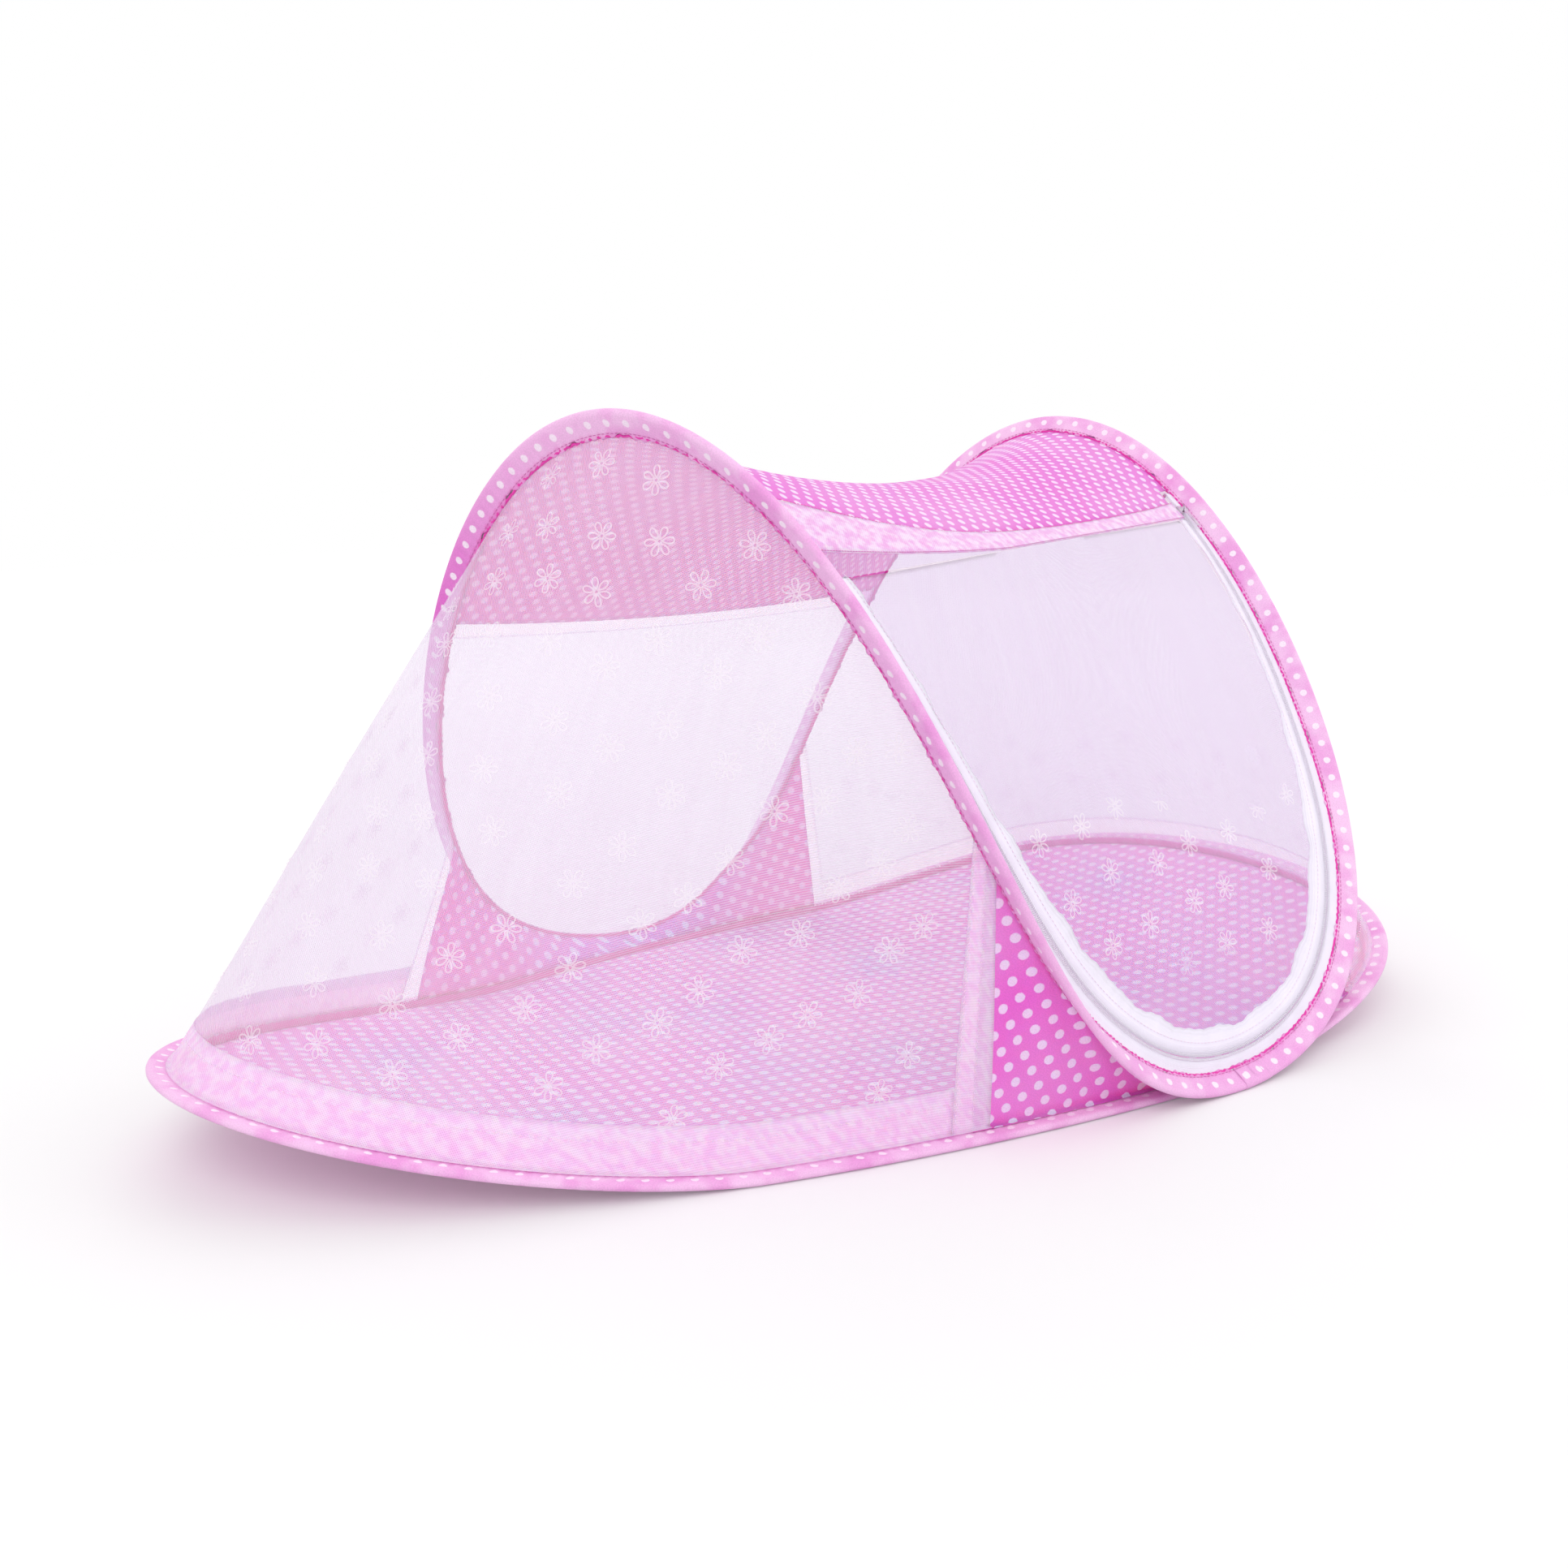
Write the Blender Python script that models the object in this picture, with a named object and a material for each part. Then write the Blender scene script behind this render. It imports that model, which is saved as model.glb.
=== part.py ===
"""Pop-up mosquito net tent: an egg-shaped floor ring and a saddle-shaped hoop of spring wire carry ruled skins.

The frame is +Z up, the floor's long axis along X, the door towards -Y, the origin on the ground at the floor's middle.
"""

import bmesh
import bpy
import numpy as np
from mathutils import Matrix, Vector

# Floor ring, along the middle of its wire
FLOOR_LENGTH = 1.080
FLOOR_WIDTH = 0.6386
FLOOR_EGG_SHIFT = 0.0999
FLOOR_TIP_FULLNESS = 0.0148
FLOOR_SIDE_FULLNESS = 0.0149
FLOOR_TIP_LIFT = 0.0719
FLOOR_FLAT_LENGTH = 0.378
LIFT_POWER = 1.5
FRONT_FOOT_ANGLE = 271.75
REAR_FOOT_ANGLE = 114.25

# Saddle hoop, along the middle of its wire, from the middle between its feet
HOOP_CENTRE_SHARE = 0.08120
FOOT_SHARE = 0.11769
CREST_SHARE = 0.27324
FOOT_OVERHANG = 0.0152
CREST_Y = 0.1407
CREST_HEIGHT = 0.5138
FOOT_BULGE_X = 0.0260
FOOT_BULGE_Y = 0.0231
CREST_BULGE_X = 0.0037
CREST_BULGE_Y = 0.0306
SHOULDER_DROP = 0.0385
ARCH_SKEW = 0.0137
HOOP_CENTRE_X = HOOP_CENTRE_SHARE * FLOOR_LENGTH
FOOT_X = FOOT_SHARE * FLOOR_LENGTH
FOOT_Y = FLOOR_WIDTH / 2 + FOOT_OVERHANG
CREST_X = CREST_SHARE * FLOOR_LENGTH

# Wire, its crimped ferrule and the folded tape over it
GAP = 0.0003
WIRE_RADIUS = 0.0010
FERRULE_WALL = 0.00045
FERRULE_LENGTH = 0.016
TAPE_WALL = 0.00085
TAPE_DEPTH = 0.0165
FERRULE_RADIUS = WIRE_RADIUS + GAP + FERRULE_WALL
POCKET_RADIUS = FERRULE_RADIUS + GAP
TAPE_RADIUS = POCKET_RADIUS + TAPE_WALL

# Cloth
NET_THICKNESS = 0.0008
CLOTH_THICKNESS = 0.0008
MAT_THICKNESS = 0.0030
FLOOR_SEAM_WIDTH = 0.0030
SIDE_HEM_WIDTH = 0.024
FLOOR_HEM_WIDTH = 0.026
ROOF_REAR_HEM_WIDTH = 0.015
ROOF_SAG = 0.045

# Zip round the door
ZIP_TAPE_WIDTH = 0.0095
ZIP_TEETH_WIDTH = 0.0024
ZIP_TEETH_THICKNESS = 0.0022
ZIP_TAPE_THICKNESS = 0.0008
ZIP_PARKING_LENGTH = 0.036
STOP_LENGTH = 0.0030
STOP_SIDE = 0.0030
HINGE_GAP = 0.0006

# Slider and pull
SLIDER_LENGTH = 0.0090
SLIDER_PLATE = 0.0010
SLIDER_CLEARANCE = 0.0006
SLIDER_WING = 0.0042
SLIDER_REST_SHARE = 0.30
EAR_THICKNESS = 0.0008
PIN_RADIUS = 0.0005
EYE_WALL = 0.0007
EYE_WIDTH = 0.0024
PULL_LENGTH = 0.0240
PULL_WIDTH = 0.0042
PULL_THICKNESS = 0.0009

# Places along an arch, in degrees of the hoop from the front foot
DOOR_HINGE = 69.2
ROOF_FRONT_MIDDLE = 71.2
ROOF_FRONT_ENDS = 74.0
ROOF_REAR = 116.0
ROOF_SAG_END = 121.0
REAR_WINDOW_END = 177.0
GUSSETS = {"left": (49.7, 138.9), "right": (46.1, 133.9)}
STATION_STEP = 3.9
LEAST_STEP_SHARE = 0.45
FOOT_EASE = 1.5
ZIP_FOOT = 2.0
ROOF_FRONT_BOW_POWER = 2.5
DOOR_SIDE_SHARE = 0.36

# How the floor ring runs ahead of the arch between matching points
FLOOR_LEAD_SHARES = {"left": (0.0963, 0.0189), "right": (0.142, 0.0)}


def unit(vectors):
    return vectors / np.linalg.norm(vectors, axis=-1, keepdims=True)


def square_to(vectors, along):
    """What is left of the vectors when their part along the other ones is taken out."""
    return vectors - (vectors * along).sum(-1, keepdims=True) * along


def lift(x):
    """Height of the floor's underside: flat in the middle, curling up towards both tips."""
    reach = (FLOOR_LENGTH - FLOOR_FLAT_LENGTH) / 2
    return FLOOR_TIP_LIFT * np.clip((np.abs(x) - FLOOR_FLAT_LENGTH / 2) / reach, 0, None) ** LIFT_POWER


def floor_ring(degrees):
    """Middle of the floor wire, counter-clockwise from the right tip."""
    t = np.radians(np.asarray(degrees, float))
    half, side = FLOOR_LENGTH / 2, FLOOR_WIDTH / 2
    x = (half - FLOOR_TIP_FULLNESS) * np.cos(t) + FLOOR_TIP_FULLNESS * np.cos(3 * t)
    x = x + FLOOR_EGG_SHIFT * (1 - np.cos(2 * t))
    y = (side + FLOOR_SIDE_FULLNESS) * np.sin(t) + FLOOR_SIDE_FULLNESS * np.sin(3 * t)
    return np.stack([x, y, TAPE_RADIUS + lift(x)], -1)


def hoop_shape(degrees):
    t = np.radians(np.asarray(degrees, float))
    x = FOOT_X * np.cos(t) + CREST_X * np.sin(t)
    x = x + FOOT_BULGE_X * (np.cos(t) - np.cos(3 * t)) + CREST_BULGE_X * (np.sin(t) + np.sin(3 * t))
    y = CREST_Y * np.sin(t) - FOOT_Y * np.cos(t)
    y = y - FOOT_BULGE_Y * (np.cos(t) - np.cos(3 * t)) - CREST_BULGE_Y * (np.sin(t) + np.sin(3 * t))
    z = CREST_HEIGHT / 2 * (1 - np.cos(2 * t)) - SHOULDER_DROP * (1 - np.cos(4 * t)) + ARCH_SKEW * np.sin(2 * t)
    return np.stack([HOOP_CENTRE_X + x, y, z], -1)


HOOP_BASE = TAPE_RADIUS - hoop_shape(np.linspace(0, 360, 1441))[:, 2].min()


def hoop(degrees):
    """Middle of the hoop wire: front foot at 0, right crest at 90, rear foot at 180, left crest at 270."""
    return hoop_shape(degrees) + np.array([0, 0, HOOP_BASE])


def tangent(curve, degrees, step=0.05):
    degrees = np.asarray(degrees, float)
    return unit(curve(degrees + step) - curve(degrees - step))


def floor_frame(degrees):
    """Directions into the floor and up from it, square to the floor ring."""
    t = np.asarray(degrees, float)
    step = FLOOR_LENGTH / 10000
    x = floor_ring(t)[..., 0]
    slope = (lift(x + step) - lift(x - step)) / (2 * step)
    up = unit(np.stack([-slope, 0 * slope, 1 + 0 * slope], -1))
    return np.cross(up, tangent(floor_ring, t)), up


def floor_partner(side, share):
    """Place on the floor ring, in degrees, that matches a share of one arch."""
    lead, skew = FLOOR_LEAD_SHARES[side]
    turn = 2 * np.pi * np.asarray(share, float)
    along = share - lead * np.sin(turn) - skew * (1 - np.cos(turn))
    if side == "left":
        return FRONT_FOOT_ANGLE + (REAR_FOOT_ANGLE - FRONT_FOOT_ANGLE) * along
    return FRONT_FOOT_ANGLE - 360 + (REAR_FOOT_ANGLE + 360 - FRONT_FOOT_ANGLE) * along


def arch_place(side, degrees):
    """Hoop angle of a place on one arch, counted from the front foot."""
    return 360 - np.asarray(degrees, float) if side == "left" else np.asarray(degrees, float)


def hoop_frame(side, degrees):
    """Directions of the tape and of the side that the middle skin is on, square to the hoop."""
    degrees = np.asarray(degrees, float)
    inner = np.clip(degrees, FOOT_EASE, 180 - FOOT_EASE)
    other = "right" if side == "left" else "left"
    along = tangent(hoop, arch_place(side, degrees))
    here = hoop(arch_place(side, inner))
    across = unit(square_to(hoop(arch_place(other, inner)) - here, along))
    down = unit(square_to(floor_ring(floor_partner(side, inner / 180)) - here, along))
    into = unit(across + down)
    return into, unit(square_to(across - down, into))


SEAM_OFFSET = (POCKET_RADIUS + CLOTH_THICKNESS / 2) / 2
SEAM_DEPTH = TAPE_DEPTH + GAP + CLOTH_THICKNESS / 2


def middle_edge(side, degrees):
    into, away = hoop_frame(side, degrees)
    return hoop(arch_place(side, degrees)) + SEAM_DEPTH * into + SEAM_OFFSET * away


def slope_edge(side, degrees):
    into, away = hoop_frame(side, degrees)
    return hoop(arch_place(side, degrees)) + SEAM_DEPTH * into - SEAM_OFFSET * away


def floor_edge(side, share):
    place = floor_partner(side, share)
    into, up = floor_frame(place)
    rise = TAPE_RADIUS + GAP + CLOTH_THICKNESS / 2
    return floor_ring(place) + (TAPE_DEPTH - FLOOR_SEAM_WIDTH) * into + rise * up


def slope_skin(side):
    """The ruled skin from one arch down to the floor: first the place on the arch, then the share of the way down."""

    def surface(degrees, share):
        share = np.asarray(share, float)[..., None]
        return (1 - share) * slope_edge(side, degrees) + share * floor_edge(side, np.asarray(degrees) / 180)

    return surface


def ruled_skin(degrees, share):
    """Straight rulings between the arches: place on both arches, then the share of the way from left to right."""
    share = np.asarray(share, float)[..., None]
    return (1 - share) * middle_edge("left", degrees) + share * middle_edge("right", degrees)


def skin_normal(surface, first, second, first_step=0.2, second_step=0.002):
    a = surface(first + first_step, second) - surface(first - first_step, second)
    b = surface(first, second + second_step) - surface(first, second - second_step)
    return unit(np.cross(a, b))


def middle_skin(degrees, share):
    """The ruled skin with the roof's sag: the taut cloth dips between the two crests, from the door's hinge on."""
    degrees, share = np.broadcast_arrays(np.asarray(degrees, float), np.asarray(share, float))
    turn = np.clip((degrees - DOOR_HINGE) / (ROOF_SAG_END - DOOR_HINGE), 0, 1)
    depth = ROOF_SAG * np.sin(np.pi * turn) * 4 * share * (1 - share)
    out = skin_normal(ruled_skin, degrees, share)
    out = np.where(out[..., 2:] > 0, out, -out)
    return ruled_skin(degrees, share) - depth[..., None] * out


RULING_PLACES = np.linspace(0.02, 179.98, 1441)
RULING_LENGTHS = np.linalg.norm(ruled_skin(RULING_PLACES, 1.0) - ruled_skin(RULING_PLACES, 0.0), axis=-1)
MIDLINE = np.concatenate([
    [0], np.cumsum(np.linalg.norm(np.diff(ruled_skin(RULING_PLACES, 0.5), axis=0), axis=-1))])


def to_flat(degrees, share):
    """Metres from the middle line and along it, for a place on the middle skin."""
    length = np.interp(degrees, RULING_PLACES, RULING_LENGTHS)
    return np.stack([(share - 0.5) * length, np.interp(degrees, RULING_PLACES, MIDLINE)], -1)


def from_flat(flat):
    degrees = np.interp(flat[..., 1], MIDLINE, RULING_PLACES)
    return degrees, 0.5 + flat[..., 0] / np.interp(degrees, RULING_PLACES, RULING_LENGTHS)


def stations(low, high):
    """Places along an arch from low to high: every seam's end, and an even step between."""
    seams = [DOOR_HINGE, parking_end(), ROOF_FRONT_ENDS, ROOF_REAR, ROOF_SAG_END]
    for front, rear in GUSSETS.values():
        seams += [front, front + hem_degrees(), rear - hem_degrees(), rear]
    even = np.linspace(0, 180, int(180 / STATION_STEP) + 1)
    near = LEAST_STEP_SHARE * STATION_STEP
    places = seams + [e for e in even if min(abs(e - s) for s in seams) > near]
    return np.array([low, *sorted(p for p in places if low + near / 3 < p < high - near / 3), high])


def mesh_object(name, points, triangles, material, centre=None):
    """One closed object from points and triangles, with its origin at the given centre."""
    mesh = bpy.data.meshes.new(name)
    centre = np.zeros(3) if centre is None else np.asarray(centre)
    mesh.from_pydata((np.asarray(points) - centre).tolist(), [], [list(map(int, t)) for t in triangles])
    bm = bmesh.new()
    bm.from_mesh(mesh)
    bmesh.ops.recalc_face_normals(bm, faces=bm.faces)
    bm.to_mesh(mesh)
    bm.free()
    mesh.shade_smooth()
    mesh.set_sharp_from_angle(angle=np.radians(40))
    obj = bpy.data.objects.new(name, mesh)
    obj.location = Vector(centre.tolist())
    bpy.context.scene.collection.objects.link(obj)
    mesh.materials.append(material)
    return obj


def cell(a, b, c, d, turned):
    """Two triangles for the four corners of a cell, cut along the chosen diagonal."""
    return [(a, b, d), (b, c, d)] if turned else [(a, b, c), (a, c, d)]


def sheet(name, points, normals, thickness, material, centre=None):
    """A closed cloth of even thickness over a grid of points."""
    rows, columns = points.shape[:2]
    both = np.concatenate([(points + s * thickness / 2 * normals).reshape(-1, 3) for s in (1, -1)])
    back = rows * columns
    triangles = []
    for r in range(rows - 1):
        for c in range(columns - 1):
            a = r * columns + c
            corners = (a, a + 1, a + columns + 1, a + columns)
            triangles += cell(*corners, False)
            triangles += cell(*(back + k for k in corners), False)
    rim = [r * columns for r in range(rows)]
    rim += [(rows - 1) * columns + c for c in range(1, columns)]
    rim += [r * columns + columns - 1 for r in range(rows - 2, -1, -1)]
    rim += list(range(columns - 2, 0, -1))
    for here, there in zip(rim, rim[1:] + rim[:1]):
        triangles += cell(here, there, there + back, here + back, False)
    return mesh_object(name, both, triangles, material, centre)


def tape_profile():
    """Section of the folded tape: the wire's pocket in the fold, both leaves towards the mouth."""
    half_round = [(0.0, 1.0), (-0.866, 0.5), (-0.866, -0.5), (0.0, -1.0)]
    outer = [(TAPE_RADIUS * a, TAPE_RADIUS * b) for a, b in half_round]
    inner = [(POCKET_RADIUS * a, POCKET_RADIUS * b) for a, b in half_round[::-1]]
    mouth = [(TAPE_DEPTH, -TAPE_RADIUS), (TAPE_DEPTH, -POCKET_RADIUS)]
    far = [(TAPE_DEPTH, POCKET_RADIUS), (TAPE_DEPTH, TAPE_RADIUS)]
    return np.array(outer + mouth + inner + far)


def round_profile(radius, sides):
    turn = 2 * np.pi * np.arange(sides) / sides
    return radius * np.stack([np.cos(turn), np.sin(turn)], -1)


def sweep(name, path, frame, profile, closed, material, turned_from=None):
    """A section carried along a path; the diagonals turn over where the section doubles back."""
    into, away = frame
    rings = path[:, None] + profile[None, :, :1] * into[:, None] + profile[None, :, 1:] * away[:, None]
    count, sides = rings.shape[:2]
    triangles = []
    for k in range(count if closed else count - 1):
        after = (k + 1) % count
        for j in range(sides):
            near = (j + 1) % sides
            corners = (k * sides + j, k * sides + near, after * sides + near, after * sides + j)
            triangles += cell(*corners, turned_from is not None and turned_from <= j < sides - 1)
    if not closed:
        ends = [list(range(sides)), [(count - 1) * sides + j for j in range(sides)]]
        triangles += [t for end in ends for t in cap(end, turned_from)]
    return mesh_object(name, rings.reshape(-1, 3), triangles, material)


def cap(ring, turned_from):
    """Triangles over one end of a sweep: a fan, or a strip between the two leaves of a folded tape."""
    if turned_from is None:
        return [(ring[0], ring[k], ring[k + 1]) for k in range(1, len(ring) - 1)]
    pairs = list(zip(ring[-1:] + ring[:5], ring[10:4:-1]))
    return [t for (a, d), (b, c) in zip(pairs, pairs[1:]) for t in cell(a, b, c, d, False)]


def tube(name, path, frame, inner, outer, sides, material):
    """A short open sleeve: two round walls joined by a ring face at each end."""
    into, away = frame
    walls = [round_profile(radius, sides) for radius in (outer, inner)]
    points = np.concatenate([
        (path[:, None] + w[None, :, :1] * into[:, None] + w[None, :, 1:] * away[:, None]).reshape(-1, 3)
        for w in walls])
    count, triangles = len(path), []
    for wall in range(2):
        for k in range(count - 1):
            for j in range(sides):
                a = (wall * count + k) * sides
                b = a + sides
                near = (j + 1) % sides
                triangles += cell(a + j, a + near, b + near, b + j, False)
    for k in (0, count - 1):
        for j in range(sides):
            a, b = k * sides, (count + k) * sides
            near = (j + 1) % sides
            triangles += cell(a + j, a + near, b + near, b + j, False)
    return mesh_object(name, points, triangles, material)


def material(name, colour, roughness, metallic=0.0, alpha=1.0):
    made = bpy.data.materials.new(name)
    made.use_nodes = True
    shader = made.node_tree.nodes["Principled BSDF"]
    shader.inputs["Base Color"].default_value = (*colour, 1.0)
    shader.inputs["Roughness"].default_value = roughness
    shader.inputs["Metallic"].default_value = metallic
    shader.inputs["Alpha"].default_value = alpha
    made.diffuse_color = (*colour, alpha)
    return made


def clear_scene():
    for obj in list(bpy.data.objects):
        bpy.data.objects.remove(obj, do_unlink=True)


def make_materials():
    return {
        "steel": material("spring_steel", (0.55, 0.56, 0.58), 0.35, 1.0),
        "tape": material("binding_tape", (0.80, 0.38, 0.68), 0.8),
        "cloth": material("dotted_cloth", (0.86, 0.22, 0.58), 0.85),
        "hem": material("pale_hem", (0.90, 0.62, 0.84), 0.85),
        "net": material("white_net", (0.88, 0.84, 0.92), 0.9, alpha=0.35),
        "mat": material("floor_cloth", (0.84, 0.30, 0.62), 0.85),
        "zip": material("zip_tape", (0.86, 0.82, 0.92), 0.7),
        "teeth": material("zip_teeth", (0.90, 0.88, 0.94), 0.4),
        "metal": material("slider_metal", (0.80, 0.79, 0.82), 0.3, 1.0),
    }


def foot_gap():
    """Half the gap between the two arch tapes at a foot, in degrees of the hoop."""
    speed = np.linalg.norm(hoop(0.5) - hoop(-0.5))
    return GAP / 2 / speed


def hem_degrees():
    return SIDE_HEM_WIDTH / (np.linalg.norm(hoop(60.5) - hoop(59.5)))


def parking_end():
    """Where the fixed half of the zip ends, past the door's hinge."""
    return DOOR_HINGE + ZIP_PARKING_LENGTH / (np.linalg.norm(hoop(70.5) - hoop(69.5)))


def floor_stations():
    """Every place where a skin's ruling meets the floor ring, with wide spaces halved."""
    places = []
    for side in ("left", "right"):
        shares = stations(0.5, 179.5) / 180
        places += list(np.mod(floor_partner(side, shares), 360))
    places = sorted(places)
    after = places[1:] + [places[0] + 360]
    most = 360 / 80
    kept = []
    for a, b in zip(places, after):
        parts = max(1, int(np.ceil((b - a) / most)))
        kept += [a + (b - a) * k / parts for k in range(parts)]
    merged = [k for i, k in enumerate(kept) if i == 0 or k - kept[i - 1] > most / 8]
    return np.array(merged)


def make_floor(mats):
    places = floor_stations()
    path, frame = floor_ring(places), floor_frame(places)
    sweep("floor_binding", path, frame, tape_profile(), True, mats["tape"], 5)
    sweep("floor_wire", path, frame, round_profile(WIRE_RADIUS, 5), True, mats["steel"])
    make_ferrule("floor_ferrule", path, frame, int(np.argmin(np.abs(places - 80))), mats["steel"])
    make_mat(places, mats["mat"])


def make_ferrule(name, path, frame, first, steel):
    """A crimped sleeve in the middle of one straight run of the wire."""
    run = np.linalg.norm(path[first + 1] - path[first])
    half = min(FERRULE_LENGTH / run, 0.9) / 2
    ends = np.array([0.5 - half, 0.5 + half])[:, None]
    middle = path[first] + ends * (path[first + 1] - path[first])
    axes = [unit(f[first] + ends * (f[first + 1] - f[first])) for f in frame]
    tube(name, middle, axes, WIRE_RADIUS + GAP, FERRULE_RADIUS, 8, steel)


def make_mat(places, cloth):
    """The floor cloth: rings drawn in from the tape's mouth, following the floor's own curl."""
    into, _ = floor_frame(places)
    rim = (floor_ring(places) + (TAPE_DEPTH + GAP) * into)[::2]
    middle = np.array([FLOOR_EGG_SHIFT, 0])
    ring_shares = (1.0, 0.86, 0.68, 0.46, 0.22)
    levels = []
    for thickness in (0, MAT_THICKNESS):
        for share in ring_shares:
            flat = middle + share * (rim[:, :2] - middle)
            levels.append(np.column_stack([flat, lift(flat[:, 0]) + thickness]))
        levels.append(np.array([[*middle, lift(middle[0]) + thickness]]))
    points, count, triangles = np.concatenate(levels), len(rim), []
    span = len(ring_shares) * count + 1
    for base in (0, span):
        for r in range(len(ring_shares) - 1):
            for k in range(count):
                a, b = base + r * count, base + (r + 1) * count
                near = (k + 1) % count
                triangles += cell(a + k, a + near, b + near, b + k, False)
        last = base + (len(ring_shares) - 1) * count
        triangles += [(last + k, last + (k + 1) % count, base + span - 1) for k in range(count)]
    for k in range(count):
        near = (k + 1) % count
        triangles += cell(k, near, span + near, span + k, False)
    return mesh_object("floor_mat", points, triangles, cloth)


def make_hoop(mats):
    gap = foot_gap()
    rings = {}
    for side in ("right", "left"):
        places = stations(gap, 180 - gap)
        path, frame = hoop(arch_place(side, places)), hoop_frame(side, places)
        sweep(side + "_arch_binding", path, frame, tape_profile(), False, mats["tape"], 5)
        rings[side] = (path, *frame)
    whole = [np.concatenate([rings["right"][k][:-1], rings["left"][k][::-1][:-1]]) for k in range(3)]
    sweep("hoop_wire", whole[0], whole[1:], round_profile(WIRE_RADIUS, 5), True, mats["steel"])
    path, *frame = rings["right"]
    make_ferrule("hoop_ferrule", path, frame, len(path) - 4, mats["steel"])


def skin_grid(surface, first, second):
    """Points and normals over a grid of places; the second ones may differ from row to row."""
    first, second = np.broadcast_arrays(np.asarray(first)[:, None], np.atleast_2d(second))
    return surface(first, second), skin_normal(surface, first, second)


def make_slope(side, mats):
    surface = slope_skin(side)
    front, rear = GUSSETS[side]
    hem, edge = hem_degrees(), 2 * foot_gap()
    places = stations(4 * edge, 180 - 4 * edge)
    lengths = np.linalg.norm(surface(places, 1.0) - surface(places, 0.0), axis=-1)
    turns = {p: 1 - FLOOR_HEM_WIDTH / length for p, length in zip(places, lengths)}

    def strip(name, low, high, top, bottom, columns, thickness, cloth):
        rows = places[(places > low - edge / 2) & (places < high + edge / 2)].copy()
        rows[0] += edge if low > places[0] else 0
        rows[-1] -= edge if high < places[-1] else 0
        turn = np.interp(rows, list(turns), list(turns.values()))
        slit = GAP / 2 / np.interp(rows, places, lengths)
        starts, ends = top(turn, slit), bottom(turn, slit)
        shares = starts[:, None] + (ends - starts)[:, None] * np.linspace(0, 1, columns)
        sheet(name, *skin_grid(surface, rows, shares), thickness, cloth)

    whole = (lambda turn, slit: 0 * turn), (lambda turn, slit: 0 * turn + 1)
    above = (lambda turn, slit: 0 * turn), (lambda turn, slit: turn - slit)
    below = (lambda turn, slit: turn + slit), (lambda turn, slit: 0 * turn + 1)
    strip(f"{side}_front_gusset", places[0], front, *whole, 4, CLOTH_THICKNESS, mats["cloth"])
    strip(f"{side}_net_front_hem", front, front + hem, *whole, 4, CLOTH_THICKNESS, mats["hem"])
    strip(f"{side}_slope_net", front + hem, rear - hem, *above, 5, NET_THICKNESS, mats["net"])
    strip(f"{side}_net_floor_hem", front + hem, rear - hem, *below, 2, CLOTH_THICKNESS, mats["hem"])
    strip(f"{side}_net_rear_hem", rear - hem, rear, *whole, 4, CLOTH_THICKNESS, mats["hem"])
    strip(f"{side}_rear_gusset", rear, places[-1], *whole, 4, CLOTH_THICKNESS, mats["cloth"])


def zip_notch():
    """How far the fixed half of the zip and its slider reach in from the tape's mouth."""
    wall = SLIDER_CLEARANCE + SLIDER_PLATE + SLIDER_CLEARANCE
    return ZIP_TAPE_WIDTH + GAP + ZIP_TEETH_WIDTH + wall


def roof_front(share):
    """The roof's front edge, bowed towards the door in its middle."""
    return ROOF_FRONT_MIDDLE + (ROOF_FRONT_ENDS - ROOF_FRONT_MIDDLE) * np.abs(2 * share - 1) ** ROOF_FRONT_BOW_POWER


def make_roof(mats):
    shares = np.linspace(0, 1, 11)
    hinge = to_flat(DOOR_HINGE, 0.5)[1]
    slit = GAP / 2 / (MIDLINE[-1] / 180)
    hem_low = np.interp(hinge + HINGE_GAP, MIDLINE, RULING_PLACES)
    notch = zip_notch() / np.interp(DOOR_HINGE, RULING_PLACES, RULING_LENGTHS)
    hem_shares = np.array([notch, *shares[1:-1], 1 - notch])
    rows = np.linspace(0, 1, 3)[:, None]
    low, high = hem_low + 0 * hem_shares, roof_front(hem_shares) - slit
    make_middle("roof_front_hem", low + rows * (high - low), hem_shares, mats["hem"])
    steps = stations(ROOF_FRONT_ENDS, ROOF_REAR)[:, None] - ROOF_FRONT_ENDS
    steps = steps / (ROOF_REAR - ROOF_FRONT_ENDS)
    low, high = roof_front(shares) + slit, ROOF_REAR - slit + 0 * shares
    make_middle("roof_panel", low + steps * (high - low), shares, mats["cloth"])
    rear_edge = np.interp(to_flat(ROOF_REAR, 0.5)[1] + ROOF_REAR_HEM_WIDTH, MIDLINE, RULING_PLACES)
    places = np.array([ROOF_REAR + slit, rear_edge - slit])[:, None] + 0 * shares
    make_middle("roof_rear_hem", places, shares, mats["hem"])
    places = stations(rear_edge + slit, REAR_WINDOW_END)[:, None] + 0 * shares
    make_middle("rear_window_net", places, shares, mats["net"])


def make_middle(name, places, shares, cloth, thickness=CLOTH_THICKNESS):
    shares = np.broadcast_to(shares, places.shape)
    normals = skin_normal(middle_skin, places, shares)
    return sheet(name, middle_skin(places, shares), normals, thickness, cloth)


def zip_line(top, distance):
    """One line of the zip, in flat metres: the tape mouth's line round the front foot, drawn in by a distance."""
    places = [p for p in stations(ZIP_FOOT, 180 - ZIP_FOOT) if p < top - 0.2] + [top]
    left = to_flat(np.array(places[::-1]), 0.0)
    right = to_flat(np.array(places), 1.0)
    mouth = np.concatenate([left, right])
    along = unit(np.gradient(mouth, axis=0))
    inward = np.stack([-along[:, 1], along[:, 0]], -1)
    inward[0] = (1 / inward[0, 0], 0)
    inward[-1] = (1 / inward[-1, 0], 0)
    return mouth + distance * inward


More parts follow.
